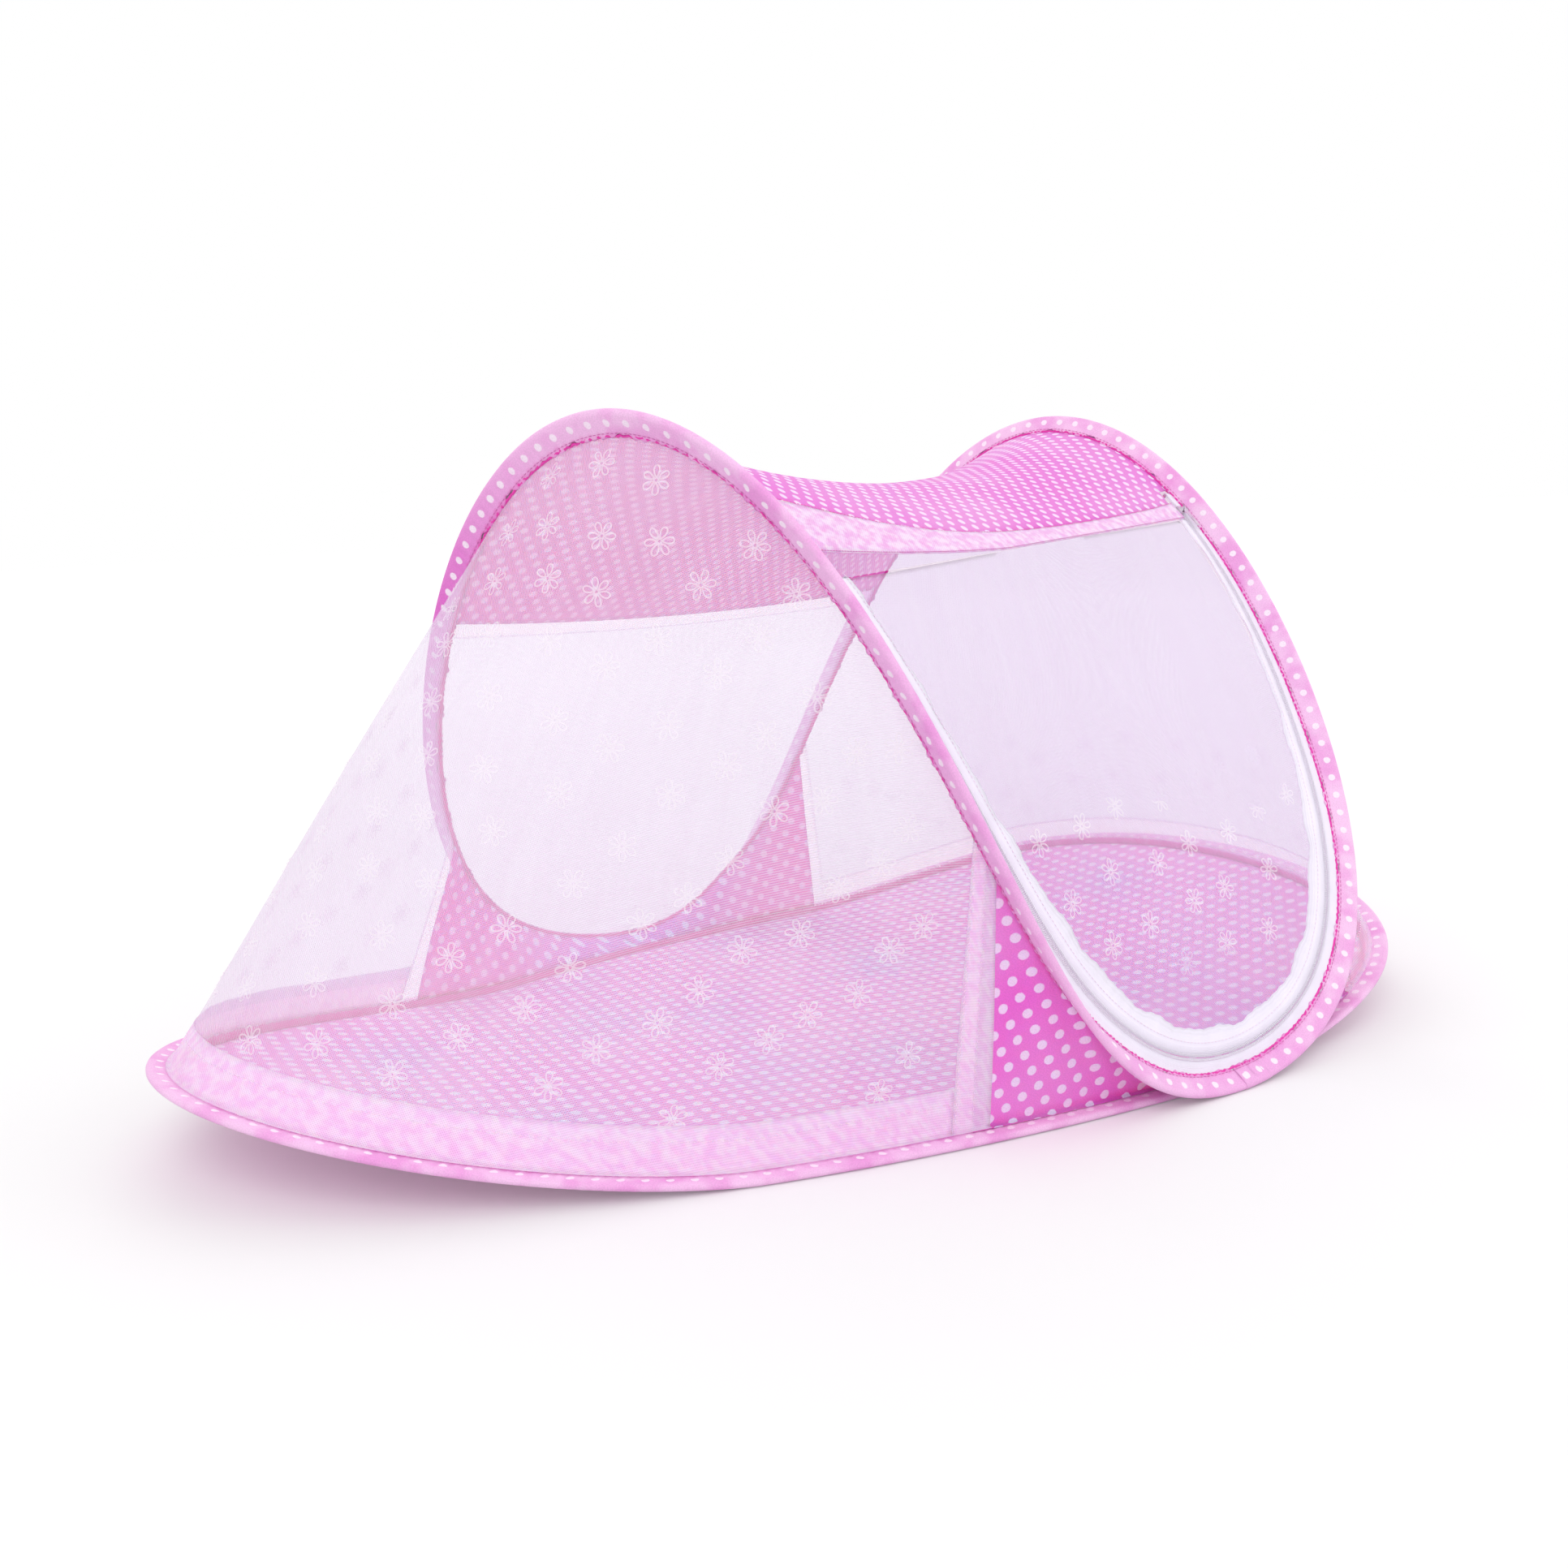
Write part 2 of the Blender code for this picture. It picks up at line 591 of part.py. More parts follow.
def make_flat(name, flat, thickness, cloth, centre=None):
    """A cloth over a grid that is laid out in flat metres on the middle skin."""
    places, shares = from_flat(flat)
    normals = skin_normal(middle_skin, places, shares)
    return sheet(name, middle_skin(places, shares), normals, thickness, cloth, centre)


def between(first, second, count):
    shares = np.linspace(0, 1, count)[None, :, None]
    return first[:, None] + shares * (second - first)[:, None]


def four_sided(left, bottom, right):
    """A grid that fills the door between its two sides, its lower edge and its straight top."""
    down, across = np.linspace(0, 1, len(left)), np.linspace(0, 1, len(bottom))
    top = left[0] + across[:, None] * (right[0] - left[0])
    d, a = down[:, None, None], across[None, :, None]
    sides = (1 - a) * left[:, None] + a * right[:, None]
    ends = (1 - d) * top[None] + d * bottom[None]
    corners = (1 - d) * ((1 - a) * left[0] + a * right[0]) + d * ((1 - a) * left[-1] + a * right[-1])
    return sides + ends - corners


def door_hinge():
    """Middle and direction of the line that the door folds up about: its straight top, at the teeth's outer face."""
    left, right = middle_skin(DOOR_HINGE, 0.0), middle_skin(DOOR_HINGE, 1.0)
    out = skin_normal(ruled_skin, DOOR_HINGE, 0.5)
    out = out if out[2] > 0 else -out
    return (left + right) / 2 + ZIP_TEETH_THICKNESS / 2 * out, unit(left - right)


def make_zip_and_door(mats):
    """Nested strips round the doorway, and the door net inside them."""
    tape, teeth = ZIP_TAPE_WIDTH, ZIP_TEETH_WIDTH
    fixed, hinge = parking_end(), to_flat(DOOR_HINGE, 0.5)[1]
    teeth_end = fixed - (STOP_LENGTH + 2 * GAP) / np.linalg.norm(hoop(70.5) - hoop(69.5))
    door_top = np.interp(hinge - HINGE_GAP, MIDLINE, RULING_PLACES)
    centre, _ = door_hinge()

    def strip(name, top, near, far, thickness, cloth, middle=None):
        flat = between(zip_line(top, near), zip_line(top, far), 2)
        return make_flat(name, flat, thickness, cloth, middle)

    line = tape
    strip("outer_zip_tape", fixed, 0, line, ZIP_TAPE_THICKNESS, mats["zip"])
    strip("outer_zip_teeth", teeth_end, line + GAP, line + GAP + teeth, ZIP_TEETH_THICKNESS, mats["teeth"])
    line += 2 * GAP + teeth
    strip("inner_zip_teeth", door_top, line + GAP, line + GAP + teeth, ZIP_TEETH_THICKNESS, mats["teeth"], centre)
    line += GAP + teeth
    strip("inner_zip_tape", door_top, line + GAP, line + GAP + tape, ZIP_TAPE_THICKNESS, mats["zip"], centre)
    line += GAP + tape
    inside = zip_line(door_top, line + GAP)
    third = int(len(inside) * DOOR_SIDE_SHARE)
    grid = four_sided(inside[:third + 1], inside[third:len(inside) - third], inside[::-1][:third + 1])
    make_flat("door_net", grid, NET_THICKNESS, mats["net"], centre)
    make_stops(teeth_end, fixed, tape + GAP + teeth / 2, mats["metal"])


def local_frame(top, distance, row):
    """Place and axes on a zip line, at its upper end: up along it, across it, and out of the tent."""
    places, shares = from_flat(zip_line(top, distance))
    points = middle_skin(places, shares)
    index, other = (0, 1) if row == "left" else (-1, -2)
    along = unit(points[index] - points[other])
    out = skin_normal(middle_skin, places[index], shares[index])
    out = unit(square_to(out if out[2] > 0 else -out, along))
    outboard = np.cross(along, out)
    outboard = outboard if (outboard[0] < 0) == (row == "left") else -outboard
    return points[index], along, outboard, out


def box_points(low, high):
    return np.array([[(low, high)[i][0], (low, high)[j][1], (low, high)[k][2]]
                     for i in (0, 1) for j in (0, 1) for k in (0, 1)])


BOX_TRIANGLES = [
    t for a, b, c, d in ((0, 1, 3, 2), (4, 5, 7, 6), (0, 1, 5, 4), (2, 3, 7, 6), (0, 2, 6, 4), (1, 3, 7, 5))
    for t in cell(a, b, c, d, False)]


def make_stops(teeth_end, fixed, distance, metal):
    """A small crimp past each end of the fixed teeth."""
    for row in ("left", "right"):
        at, *axes = local_frame(teeth_end, distance, row)
        low = np.array([GAP, -STOP_SIDE / 2 + GAP, -STOP_SIDE / 2])
        high = np.array([GAP + STOP_LENGTH, STOP_SIDE / 2 - GAP, STOP_SIDE / 2])
        points = at + box_points(low, high) @ np.array(axes)
        mesh_object(f"{row}_zip_stop", points, BOX_TRIANGLES, metal)


def prism(outline, low, high):
    """A closed outline, given across and out of the zip, drawn out along it from low to high."""
    outline = np.asarray(outline)
    ends = [np.column_stack([np.full(len(outline), x), outline]) for x in (low, high)]
    return np.concatenate(ends)


def solid_from_outline(bm, outline, low, high, axis=0):
    """Adds a straight prism with any flat outline, drawn out along one of the local axes."""
    points = prism(outline, low, high)
    if axis == 1:
        points = points[:, [1, 0, 2]]
    made = [bm.verts.new(p) for p in points.tolist()]
    count = len(outline)
    bm.faces.new(made[:count])
    bm.faces.new(made[count:][::-1])
    for k in range(count):
        near = (k + 1) % count
        bm.faces.new((made[k], made[k + count], made[near + count], made[near]))


def clamp_outline():
    """The slider's section: two plates over the fixed teeth and the wall that joins them on the door's side."""
    inner = ZIP_TEETH_THICKNESS / 2 + SLIDER_CLEARANCE
    outer = inner + SLIDER_PLATE
    wall = -(ZIP_TEETH_WIDTH / 2 + SLIDER_CLEARANCE)
    side = wall - SLIDER_PLATE
    return [
        (side, -outer), (SLIDER_WING, -outer), (SLIDER_WING, -inner), (wall, -inner),
        (wall, inner), (SLIDER_WING, inner), (SLIDER_WING, outer), (side, outer)]


def placed(name, bm, frame, cloth):
    """The finished mesh as an object whose origin and axes are the given frame's."""
    bmesh.ops.recalc_face_normals(bm, faces=bm.faces)
    mesh = bpy.data.meshes.new(name)
    bm.to_mesh(mesh)
    bm.free()
    mesh.shade_smooth()
    mesh.set_sharp_from_angle(angle=np.radians(40))
    mesh.materials.append(cloth)
    obj = bpy.data.objects.new(name, mesh)
    at, *axes = frame
    turn = np.eye(4)
    turn[:3, :3], turn[:3, 3] = np.array(axes).T, at
    obj.matrix_world = Matrix(turn.tolist())
    bpy.context.scene.collection.objects.link(obj)
    return obj


def slider_frame():
    """Where the closed zip's slider stands: on the fixed teeth, just past the door's hinge."""
    rest = DOOR_HINGE + (parking_end() - DOOR_HINGE) * SLIDER_REST_SHARE
    return local_frame(rest, ZIP_TAPE_WIDTH + GAP + ZIP_TEETH_WIDTH / 2, "right")


def round_outline(radius, sides=8):
    """Corners of a polygon that holds a circle of the given radius."""
    turn = 2 * np.pi * (np.arange(sides) + 0.5) / sides
    return radius / np.cos(np.pi / sides) * np.stack([np.cos(turn), np.sin(turn)], -1)


def pin_height():
    """The pull's pin above the middle of the teeth: its eye clears the slider's upper plate."""
    plate = ZIP_TEETH_THICKNESS / 2 + SLIDER_CLEARANCE + SLIDER_PLATE
    return plate + GAP + PIN_RADIUS + GAP + EYE_WALL / np.cos(np.pi / 8)


def pull_side():
    """Middle of the pull across the zip, over the fixed tape."""
    return SLIDER_WING - EAR_THICKNESS - GAP - EYE_WIDTH / 2


def make_slider(metal):
    """The clamp with two ears on its upper plate and the pin between them."""
    bm = bmesh.new()
    half = SLIDER_LENGTH / 2
    solid_from_outline(bm, clamp_outline(), -half, half)
    slider = placed("zip_slider", bm, slider_frame(), metal)
    plate = ZIP_TEETH_THICKNESS / 2 + SLIDER_CLEARANCE + SLIDER_PLATE / 2
    reach = EYE_WIDTH / 2 + GAP
    ears = []
    for low in (pull_side() - reach - EAR_THICKNESS, pull_side() + reach):
        outline = [(-half / 2, plate), (half / 2, plate), (PIN_RADIUS * 2, pin_height() + PIN_RADIUS * 2),
                   (-PIN_RADIUS * 2, pin_height() + PIN_RADIUS * 2)]
        ears.append((outline, low, low + EAR_THICKNESS))
    pin = [(x, pin_height() + z) for x, z in round_outline(PIN_RADIUS).tolist()]
    ears.append((pin, pull_side() - reach - EAR_THICKNESS / 2, pull_side() + reach + EAR_THICKNESS / 2))
    for number, (outline, low, high) in enumerate(ears):
        bm = bmesh.new()
        solid_from_outline(bm, outline, low, high, 1)
        cutter = placed(f"slider_add_{number}", bm, slider_frame(), metal)
        cutter.hide_render = True
        cutter.display_type = "WIRE"
        joined = slider.modifiers.new(f"add_{number}", "BOOLEAN")
        joined.operation = "UNION"
        joined.object = cutter


def make_pull(metal):
    """The pull: an eye round the pin and a tab that lies down along the closed zip."""
    at, along, outboard, out = slider_frame()
    low, high = -EYE_WIDTH / 2, EYE_WIDTH / 2
    hole = round_outline(PIN_RADIUS + GAP)
    rim = round_outline(PIN_RADIUS + GAP + EYE_WALL)
    bm = bmesh.new()
    rings = [[bm.verts.new((x, y, z)) for x, z in ring.tolist()] for y in (low, high) for ring in (rim, hole)]
    count = len(hole)
    for k in range(count):
        near = (k + 1) % count
        for a, b in ((0, 1), (3, 2), (2, 0), (1, 3)):
            bm.faces.new((rings[a][k], rings[a][near], rings[b][near], rings[b][k]))
    frame = at + pull_side() * outboard + pin_height() * out, along, outboard, out
    pull = placed("zip_pull", bm, frame, metal)
    start = PIN_RADIUS + GAP + EYE_WALL / 2
    half = PULL_THICKNESS / 2
    bevel = PULL_WIDTH / 4
    outline = [(-start, low), (-start - bevel, -PULL_WIDTH / 2), (-PULL_LENGTH + bevel, -PULL_WIDTH / 2),
               (-PULL_LENGTH, low + bevel), (-PULL_LENGTH, high - bevel), (-PULL_LENGTH + bevel, PULL_WIDTH / 2),
               (-start - bevel, PULL_WIDTH / 2), (-start, high)]
    bm = bmesh.new()
    made = [[bm.verts.new((x, y, z)) for x, y in outline] for z in (-half, half)]
    bm.faces.new(made[0][::-1])
    bm.faces.new(made[1])
    for k in range(len(outline)):
        near = (k + 1) % len(outline)
        bm.faces.new((made[0][k], made[0][near], made[1][near], made[1][k]))
    tab = placed("pull_add", bm, frame, metal)
    tab.hide_render = True
    tab.display_type = "WIRE"
    joined = pull.modifiers.new("add_tab", "BOOLEAN")
    joined.operation = "UNION"
    joined.object = tab


def main():
    clear_scene()
    mats = make_materials()
    make_floor(mats)
    make_hoop(mats)
    for side in ("left", "right"):
        make_slope(side, mats)
    make_roof(mats)
    make_zip_and_door(mats)
    make_slider(mats["metal"])
    make_pull(mats["metal"])


main()
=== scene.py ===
"""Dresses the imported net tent: cloth surfaces, puckered sleeves, lace, zip, stitching, studio and camera.

The skins' formulas repeat the part's own, in metres and in the same frame.
"""

import bmesh
import bpy
import numpy as np
from mathutils import Matrix, Vector


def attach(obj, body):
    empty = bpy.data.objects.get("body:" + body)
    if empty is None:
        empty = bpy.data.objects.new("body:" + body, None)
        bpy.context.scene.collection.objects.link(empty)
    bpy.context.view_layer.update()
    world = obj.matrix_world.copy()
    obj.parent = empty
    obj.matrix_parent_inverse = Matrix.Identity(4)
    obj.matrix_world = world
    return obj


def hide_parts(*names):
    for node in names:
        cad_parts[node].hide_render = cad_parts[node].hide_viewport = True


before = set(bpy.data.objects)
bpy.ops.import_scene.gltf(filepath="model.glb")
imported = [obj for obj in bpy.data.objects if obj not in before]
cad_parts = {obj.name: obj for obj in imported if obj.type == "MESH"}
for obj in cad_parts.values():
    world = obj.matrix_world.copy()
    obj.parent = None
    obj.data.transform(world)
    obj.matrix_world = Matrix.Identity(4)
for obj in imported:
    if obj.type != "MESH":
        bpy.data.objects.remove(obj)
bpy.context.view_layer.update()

# The part's own sizes
FLOOR_LENGTH, FLOOR_WIDTH = 1.080, 0.6386
FLOOR_EGG_SHIFT, FLOOR_TIP_FULLNESS, FLOOR_SIDE_FULLNESS = 0.0999, 0.0148, 0.0149
FLOOR_TIP_LIFT, FLOOR_FLAT_LENGTH, LIFT_POWER = 0.0719, 0.378, 1.5
FRONT_FOOT_ANGLE, REAR_FOOT_ANGLE = 271.75, 114.25
HOOP_CENTRE_X, FOOT_X, CREST_X = 0.08120 * FLOOR_LENGTH, 0.11769 * FLOOR_LENGTH, 0.27324 * FLOOR_LENGTH
FOOT_Y = FLOOR_WIDTH / 2 + 0.0152
CREST_Y, CREST_HEIGHT = 0.1407, 0.5138
FOOT_BULGE_X, FOOT_BULGE_Y, CREST_BULGE_X, CREST_BULGE_Y = 0.0260, 0.0231, 0.0037, 0.0306
SHOULDER_DROP, ARCH_SKEW = 0.0385, 0.0137
GAP, POCKET_RADIUS, TAPE_RADIUS, TAPE_DEPTH = 0.0003, 0.00205, 0.0029, 0.0165
CLOTH_THICKNESS, MAT_THICKNESS = 0.0008, 0.0030
SIDE_HEM_WIDTH, FLOOR_HEM_WIDTH, ROOF_REAR_HEM_WIDTH, ROOF_SAG = 0.024, 0.026, 0.015, 0.045
ZIP_TAPE_WIDTH, ZIP_TEETH_WIDTH, ZIP_PARKING_LENGTH = 0.0095, 0.0024, 0.036
SLIDER_SIDE = 0.0022  # the parked slider's side wall with its play
STOP_LENGTH, HINGE_GAP = 0.0030, 0.0006
DOOR_HINGE, ROOF_REAR, ROOF_SAG_END, REAR_WINDOW_END = 69.2, 116.0, 121.0, 177.0
GUSSETS = {"left": (49.7, 138.9), "right": (46.1, 133.9)}
FLOOR_LEAD_SHARES = {"left": (0.0963, 0.0189), "right": (0.142, 0.0)}
SEAM_OFFSET = (POCKET_RADIUS + CLOTH_THICKNESS / 2) / 2
SEAM_DEPTH = TAPE_DEPTH + GAP + CLOTH_THICKNESS / 2
FLOOR_SEAM_WIDTH = 0.0030
INSIDE = np.array([0.09, 0.0, 0.12])  # a point inside the cabin, which tells outside from inside

# What the scene adds
TUCK = 0.0032  # how far a cloth runs into the sleeve it is sewn into
OVERLAP = 0.22  # degrees of arch by which neighbouring cloths lie over each other
CLOTH_WALL, HEM_WALL, ZIP_WALL = 0.0005, 0.0004, 0.0006
HEM_RISE, ROOF_HEM_RISE = 0.0006, 0.0007  # how far a hem stands out from the cloth under it
SLEEVE_WALL, SLEEVE_STEP, PUCKER_LENGTH, DOT_SPACING = 0.0004, 0.0021, 0.0088, 0.0172
ZIP_FOOT = 0.3  # degrees of arch between the zip's lowest point and the hoop's foot
LEFT_HEM_SPREAD = 0.010  # how far the left floor hem's soft inner layer reaches beyond its stitching
HEM_LAP = 1.5  # degrees of arch by which the left net's front hem lies over the gusset
BAND_SPREAD = 0.009  # the inner zip band's frill, at its widest
FRILL_WAVES = ((0.0013, 0.071), (0.0009, 0.043), (0.0004, 0.013))  # height and length of each
LAP = 0.1  # degrees of arch by which the roof, its hems and the window lie over each other
HOOP_SPEED = 0.0066  # metres of arch to a degree, roughly
GATHER_TOP, GATHER_FLOOR = 0.0125, 0.0165  # metres from gather to gather along the arch and the floor
STITCH_DEPTH, STITCH_HEIGHT = 0.01405, 0.00232  # a sleeve's stitches, from its wire and its middle
RUFFLE_LENGTH = 0.0068  # from ruffle to ruffle of a sleeve's overlocked edge
NET_STITCH_STEP, DOOR_STITCH_STEP, STITCH_MARGIN = 0.0044, 0.0040, 0.003
DOOR_LAP = 0.001  # how far the door's net runs under the inner zip band
FOLD_SEEDS = {"left": 0.7, "right": 2.9}
FLOWER_PITCH = 0.051
WEAVE_PITCH, NET_PITCH, HEM_PITCH, MESH_TURN = 0.0009, 0.0012, 0.0013, 42.0
DOT_ROW, DOT_CORE, DOT_RIM = 0.0105, 0.0025, 0.0034  # a sleeve's dots: from its fold, and their radii
# A sleeve's darkening towards its mouth is painted shadow.
MOUTH_SHADE_START, MOUTH_SHADE_END = 0.0165, 0.0195  # where a sleeve darkens towards its gathered mouth
# The deeper colour near a cloth's seams is painted shade.
SEAM_SHADE = 0.010  # how far from its seams a cloth is deeper coloured
# Half of the sleeve's section from its fold to its mouth: depth, offset, share of the pucker
SLEEVE_HALF = np.array([
    (-0.00290, 0.00000, 0.0), (-0.00255, 0.00140, 0.0), (-0.00140, 0.00255, 0.1), (0.00050, 0.00300, 0.2),
    (0.00350, 0.00290, 0.5), (0.00700, 0.00262, 0.9), (0.01050, 0.00235, 0.8), (0.01320, 0.00210, 0.3),
    (0.01420, 0.00205, 0.1), (0.01530, 0.00225, 0.7), (0.01650, 0.00245, 1.0)])


# Curves

def unit(v):
    return v / np.maximum(np.linalg.norm(v, axis=-1, keepdims=True), 1e-12)


def square_to(v, along):
    return v - (v * along).sum(-1, keepdims=True) * along


def blend(share, first, second):
    return (1 - share) * first + share * second


def smooth_step(share):
    return share ** 2 * (3 - 2 * share)


def lift(x):
    reach = (FLOOR_LENGTH - FLOOR_FLAT_LENGTH) / 2
    return FLOOR_TIP_LIFT * np.clip((np.abs(x) - FLOOR_FLAT_LENGTH / 2) / reach, 0, None) ** LIFT_POWER


def floor_ring(degrees):
    t = np.radians(degrees)
    half, side = FLOOR_LENGTH / 2, FLOOR_WIDTH / 2
    x = (half - FLOOR_TIP_FULLNESS) * np.cos(t) + FLOOR_TIP_FULLNESS * np.cos(3 * t)
    x = x + FLOOR_EGG_SHIFT * (1 - np.cos(2 * t))
    y = (side + FLOOR_SIDE_FULLNESS) * np.sin(t) + FLOOR_SIDE_FULLNESS * np.sin(3 * t)
    return np.stack([x, y, TAPE_RADIUS + lift(x)], -1)


def hoop_shape(degrees):
    t = np.radians(degrees)
    foot, crest = np.cos(t) - np.cos(3 * t), np.sin(t) + np.sin(3 * t)
    x = FOOT_X * np.cos(t) + CREST_X * np.sin(t) + FOOT_BULGE_X * foot + CREST_BULGE_X * crest
    y = CREST_Y * np.sin(t) - FOOT_Y * np.cos(t) - FOOT_BULGE_Y * foot - CREST_BULGE_Y * crest
    z = CREST_HEIGHT / 2 * (1 - np.cos(2 * t)) - SHOULDER_DROP * (1 - np.cos(4 * t))
    z = z + ARCH_SKEW * np.sin(2 * t)
    return np.stack([HOOP_CENTRE_X + x, y, z], -1)


HOOP_BASE = TAPE_RADIUS - hoop_shape(np.linspace(0, 360, 1441))[:, 2].min()


def hoop(degrees):
    return hoop_shape(degrees) + np.array([0, 0, HOOP_BASE])


def tangent(curve, degrees, step=0.05):
    return unit(curve(degrees + step) - curve(degrees - step))


def floor_frame(degrees):
    """The ways into the floor and up from it, square to the floor ring."""
    step = FLOOR_LENGTH / 10000
    x = floor_ring(degrees)[..., 0]
    slope = (lift(x + step) - lift(x - step)) / (2 * step)
    up = unit(np.stack([-slope, 0 * slope, 1 + 0 * slope], -1))
    return np.cross(up, tangent(floor_ring, degrees)), up


def floor_partner(side, share):
    """The floor ring's place that a slope's ruling runs down to."""
    lead, skew = FLOOR_LEAD_SHARES[side]
    turn = 2 * np.pi * share
    along = share - lead * np.sin(turn) - skew * (1 - np.cos(turn))
    if side == "left":
        return FRONT_FOOT_ANGLE + (REAR_FOOT_ANGLE - FRONT_FOOT_ANGLE) * along
    return FRONT_FOOT_ANGLE - 360 + (REAR_FOOT_ANGLE + 360 - FRONT_FOOT_ANGLE) * along


def arch_place(side, degrees):
    return 360 - degrees if side == "left" else degrees


def hoop_frame(side, degrees):
    """The ways into an arch's sleeve and across it, held steady at the feet, where they would twist."""
    inner = np.clip(degrees, 1.5, 178.5)
    other = "right" if side == "left" else "left"
    along = tangent(hoop, arch_place(side, np.clip(degrees, 0.5, 179.5)))
    here = hoop(arch_place(side, inner))
    across = unit(square_to(hoop(arch_place(other, inner)) - here, along))
    down = unit(square_to(floor_ring(floor_partner(side, inner / 180)) - here, along))
    into = unit(across + down)
    return into, unit(square_to(across - down, into))


def arch_edge(side, degrees, offset, tuck=0.0):
    """A skin's seam along one arch, or a line tucked into the sleeve by so much."""
    into, away = hoop_frame(side, degrees)
    return hoop(arch_place(side, degrees)) + (SEAM_DEPTH - tuck) * into + offset * away


def floor_edge(side, share, tuck=0.0):
    place = floor_partner(side, share)
    into, up = floor_frame(place)
    rise = TAPE_RADIUS + GAP + CLOTH_THICKNESS / 2
    return floor_ring(place) + (TAPE_DEPTH - FLOOR_SEAM_WIDTH - tuck) * into + (rise - 0.1 * tuck) * up


def heading(points):
    return unit(np.gradient(points, axis=0))


def path_length(points, closed=False):
    along = np.concatenate([[0], np.cumsum(np.linalg.norm(np.diff(points, axis=0), axis=-1))])
    return along, along[-1] + (np.linalg.norm(points[0] - points[-1]) if closed else 0)


def at_marks(marks, along, values):
    return np.stack([np.interp(marks, along, column) for column in values.T], -1)


def even_places(curve, low, high, step, closed=False):
    """Places along a curve that are an even step apart."""
    fine = np.linspace(low, high, 4001)
    along, total = path_length(curve(fine))
    places = np.interp(np.linspace(0, total, max(3, int(round(total / step)) + 1)), along, fine)
    return places[:-1] if closed else places


# Skins

def ripple(degrees, near, far, length, seed):
    """Gathers that fan out from a seam and die away, and slow folds between the seams."""
    wander = 1.7 * np.sin(0.37 * degrees + seed) + 1.1 * np.sin(0.93 * degrees + 2 * seed)
    gather = np.sin(2 * np.pi * degrees * HOOP_SPEED / GATHER_TOP + wander)
    lower = np.sin(2 * np.pi * degrees * HOOP_SPEED / GATHER_FLOOR + 1.3 * wander + 1)
    slow = np.sin(0.21 * degrees + seed) * np.sin(0.55 * degrees + 3 * near / length + 2 * seed)
    upper = 0.0007 * gather * np.exp(-near / 0.016) * (1 - np.exp(-near / 0.003))
    low = 0.0008 * lower * np.exp(-far / 0.020) * (1 - np.exp(-far / 0.003))
    share = np.clip(near / length, 0, 1)
    return upper + low + 0.0018 * slow * 4 * share * (1 - share)


def ruled_slope(side, degrees, share):
    return blend(share[..., None], arch_edge(side, degrees, -SEAM_OFFSET), floor_edge(side, degrees / 180))


def slope_length(side, degrees):
    top, bottom = (ruled_slope(side, degrees, end + 0 * degrees) for end in (0, 1))
    return np.linalg.norm(bottom - top, axis=-1)


def ruled_skin(degrees, share):
    left, right = (arch_edge(side, degrees, SEAM_OFFSET) for side in ("left", "right"))
    return blend(np.asarray(share)[..., None], left, right)


def skin_normal(surface, degrees, share):
    a = surface(degrees + 0.2, share) - surface(degrees - 0.2, share)
    b = surface(degrees, share + 0.002) - surface(degrees, share - 0.002)
    return unit(np.cross(a, b))


def middle_skin(degrees, share):
    """The saddle from arch to arch: door, sagging roof and rear window."""
    degrees, share = np.broadcast_arrays(degrees, share)
    turn = np.clip((degrees - DOOR_HINGE) / (ROOF_SAG_END - DOOR_HINGE), 0, 1)
    depth = ROOF_SAG * np.sin(np.pi * turn) * 4 * share * (1 - share)
    out = skin_normal(ruled_skin, degrees, share)
    out = np.where(out[..., 2:] > 0, out, -out)
    return ruled_skin(degrees, share) - depth[..., None] * out


def middle_surface(degrees, share, raised=0.0):
    """Points of the middle skin, raised from it by so much, and its outward normals."""
    points = middle_skin(degrees, share)
    normals = skin_normal(middle_skin, degrees, share)
    normals = np.where(((points - INSIDE) * normals).sum(-1, keepdims=True) > 0, normals, -normals)
    return points + raised * normals, normals


RULINGS = np.linspace(0.02, 179.98, 1441)
RULING_LENGTHS = np.linalg.norm(ruled_skin(RULINGS, 1.0) - ruled_skin(RULINGS, 0.0), axis=-1)
MIDLINE = path_length(ruled_skin(RULINGS, 0.5))[0]


def ruling_length(degrees):
    return np.interp(degrees, RULINGS, RULING_LENGTHS)


def ruling_at(midline):
    return np.interp(midline, MIDLINE, RULINGS)


def to_flat(degrees, share):
    return np.stack([(share - 0.5) * ruling_length(degrees), np.interp(degrees, RULINGS, MIDLINE)], -1)


def from_flat(flat):
    degrees = ruling_at(flat[..., 1])
    return degrees, 0.5 + flat[..., 0] / ruling_length(degrees)


def hoop_step(low, high):
    return np.linalg.norm(hoop(high) - hoop(low))


HEM_DEGREES = SIDE_HEM_WIDTH / hoop_step(59.5, 60.5)
PARKING_END = DOOR_HINGE + ZIP_PARKING_LENGTH / hoop_step(69.5, 70.5)
FOOT_GAP = GAP / 2 / hoop_step(-0.5, 0.5)
HINGE_LINE = to_flat(DOOR_HINGE, 0.5)[1]
ROOF_START, DOOR_TOP = ruling_at(HINGE_LINE + HINGE_GAP), ruling_at(HINGE_LINE - HINGE_GAP)


# Meshes

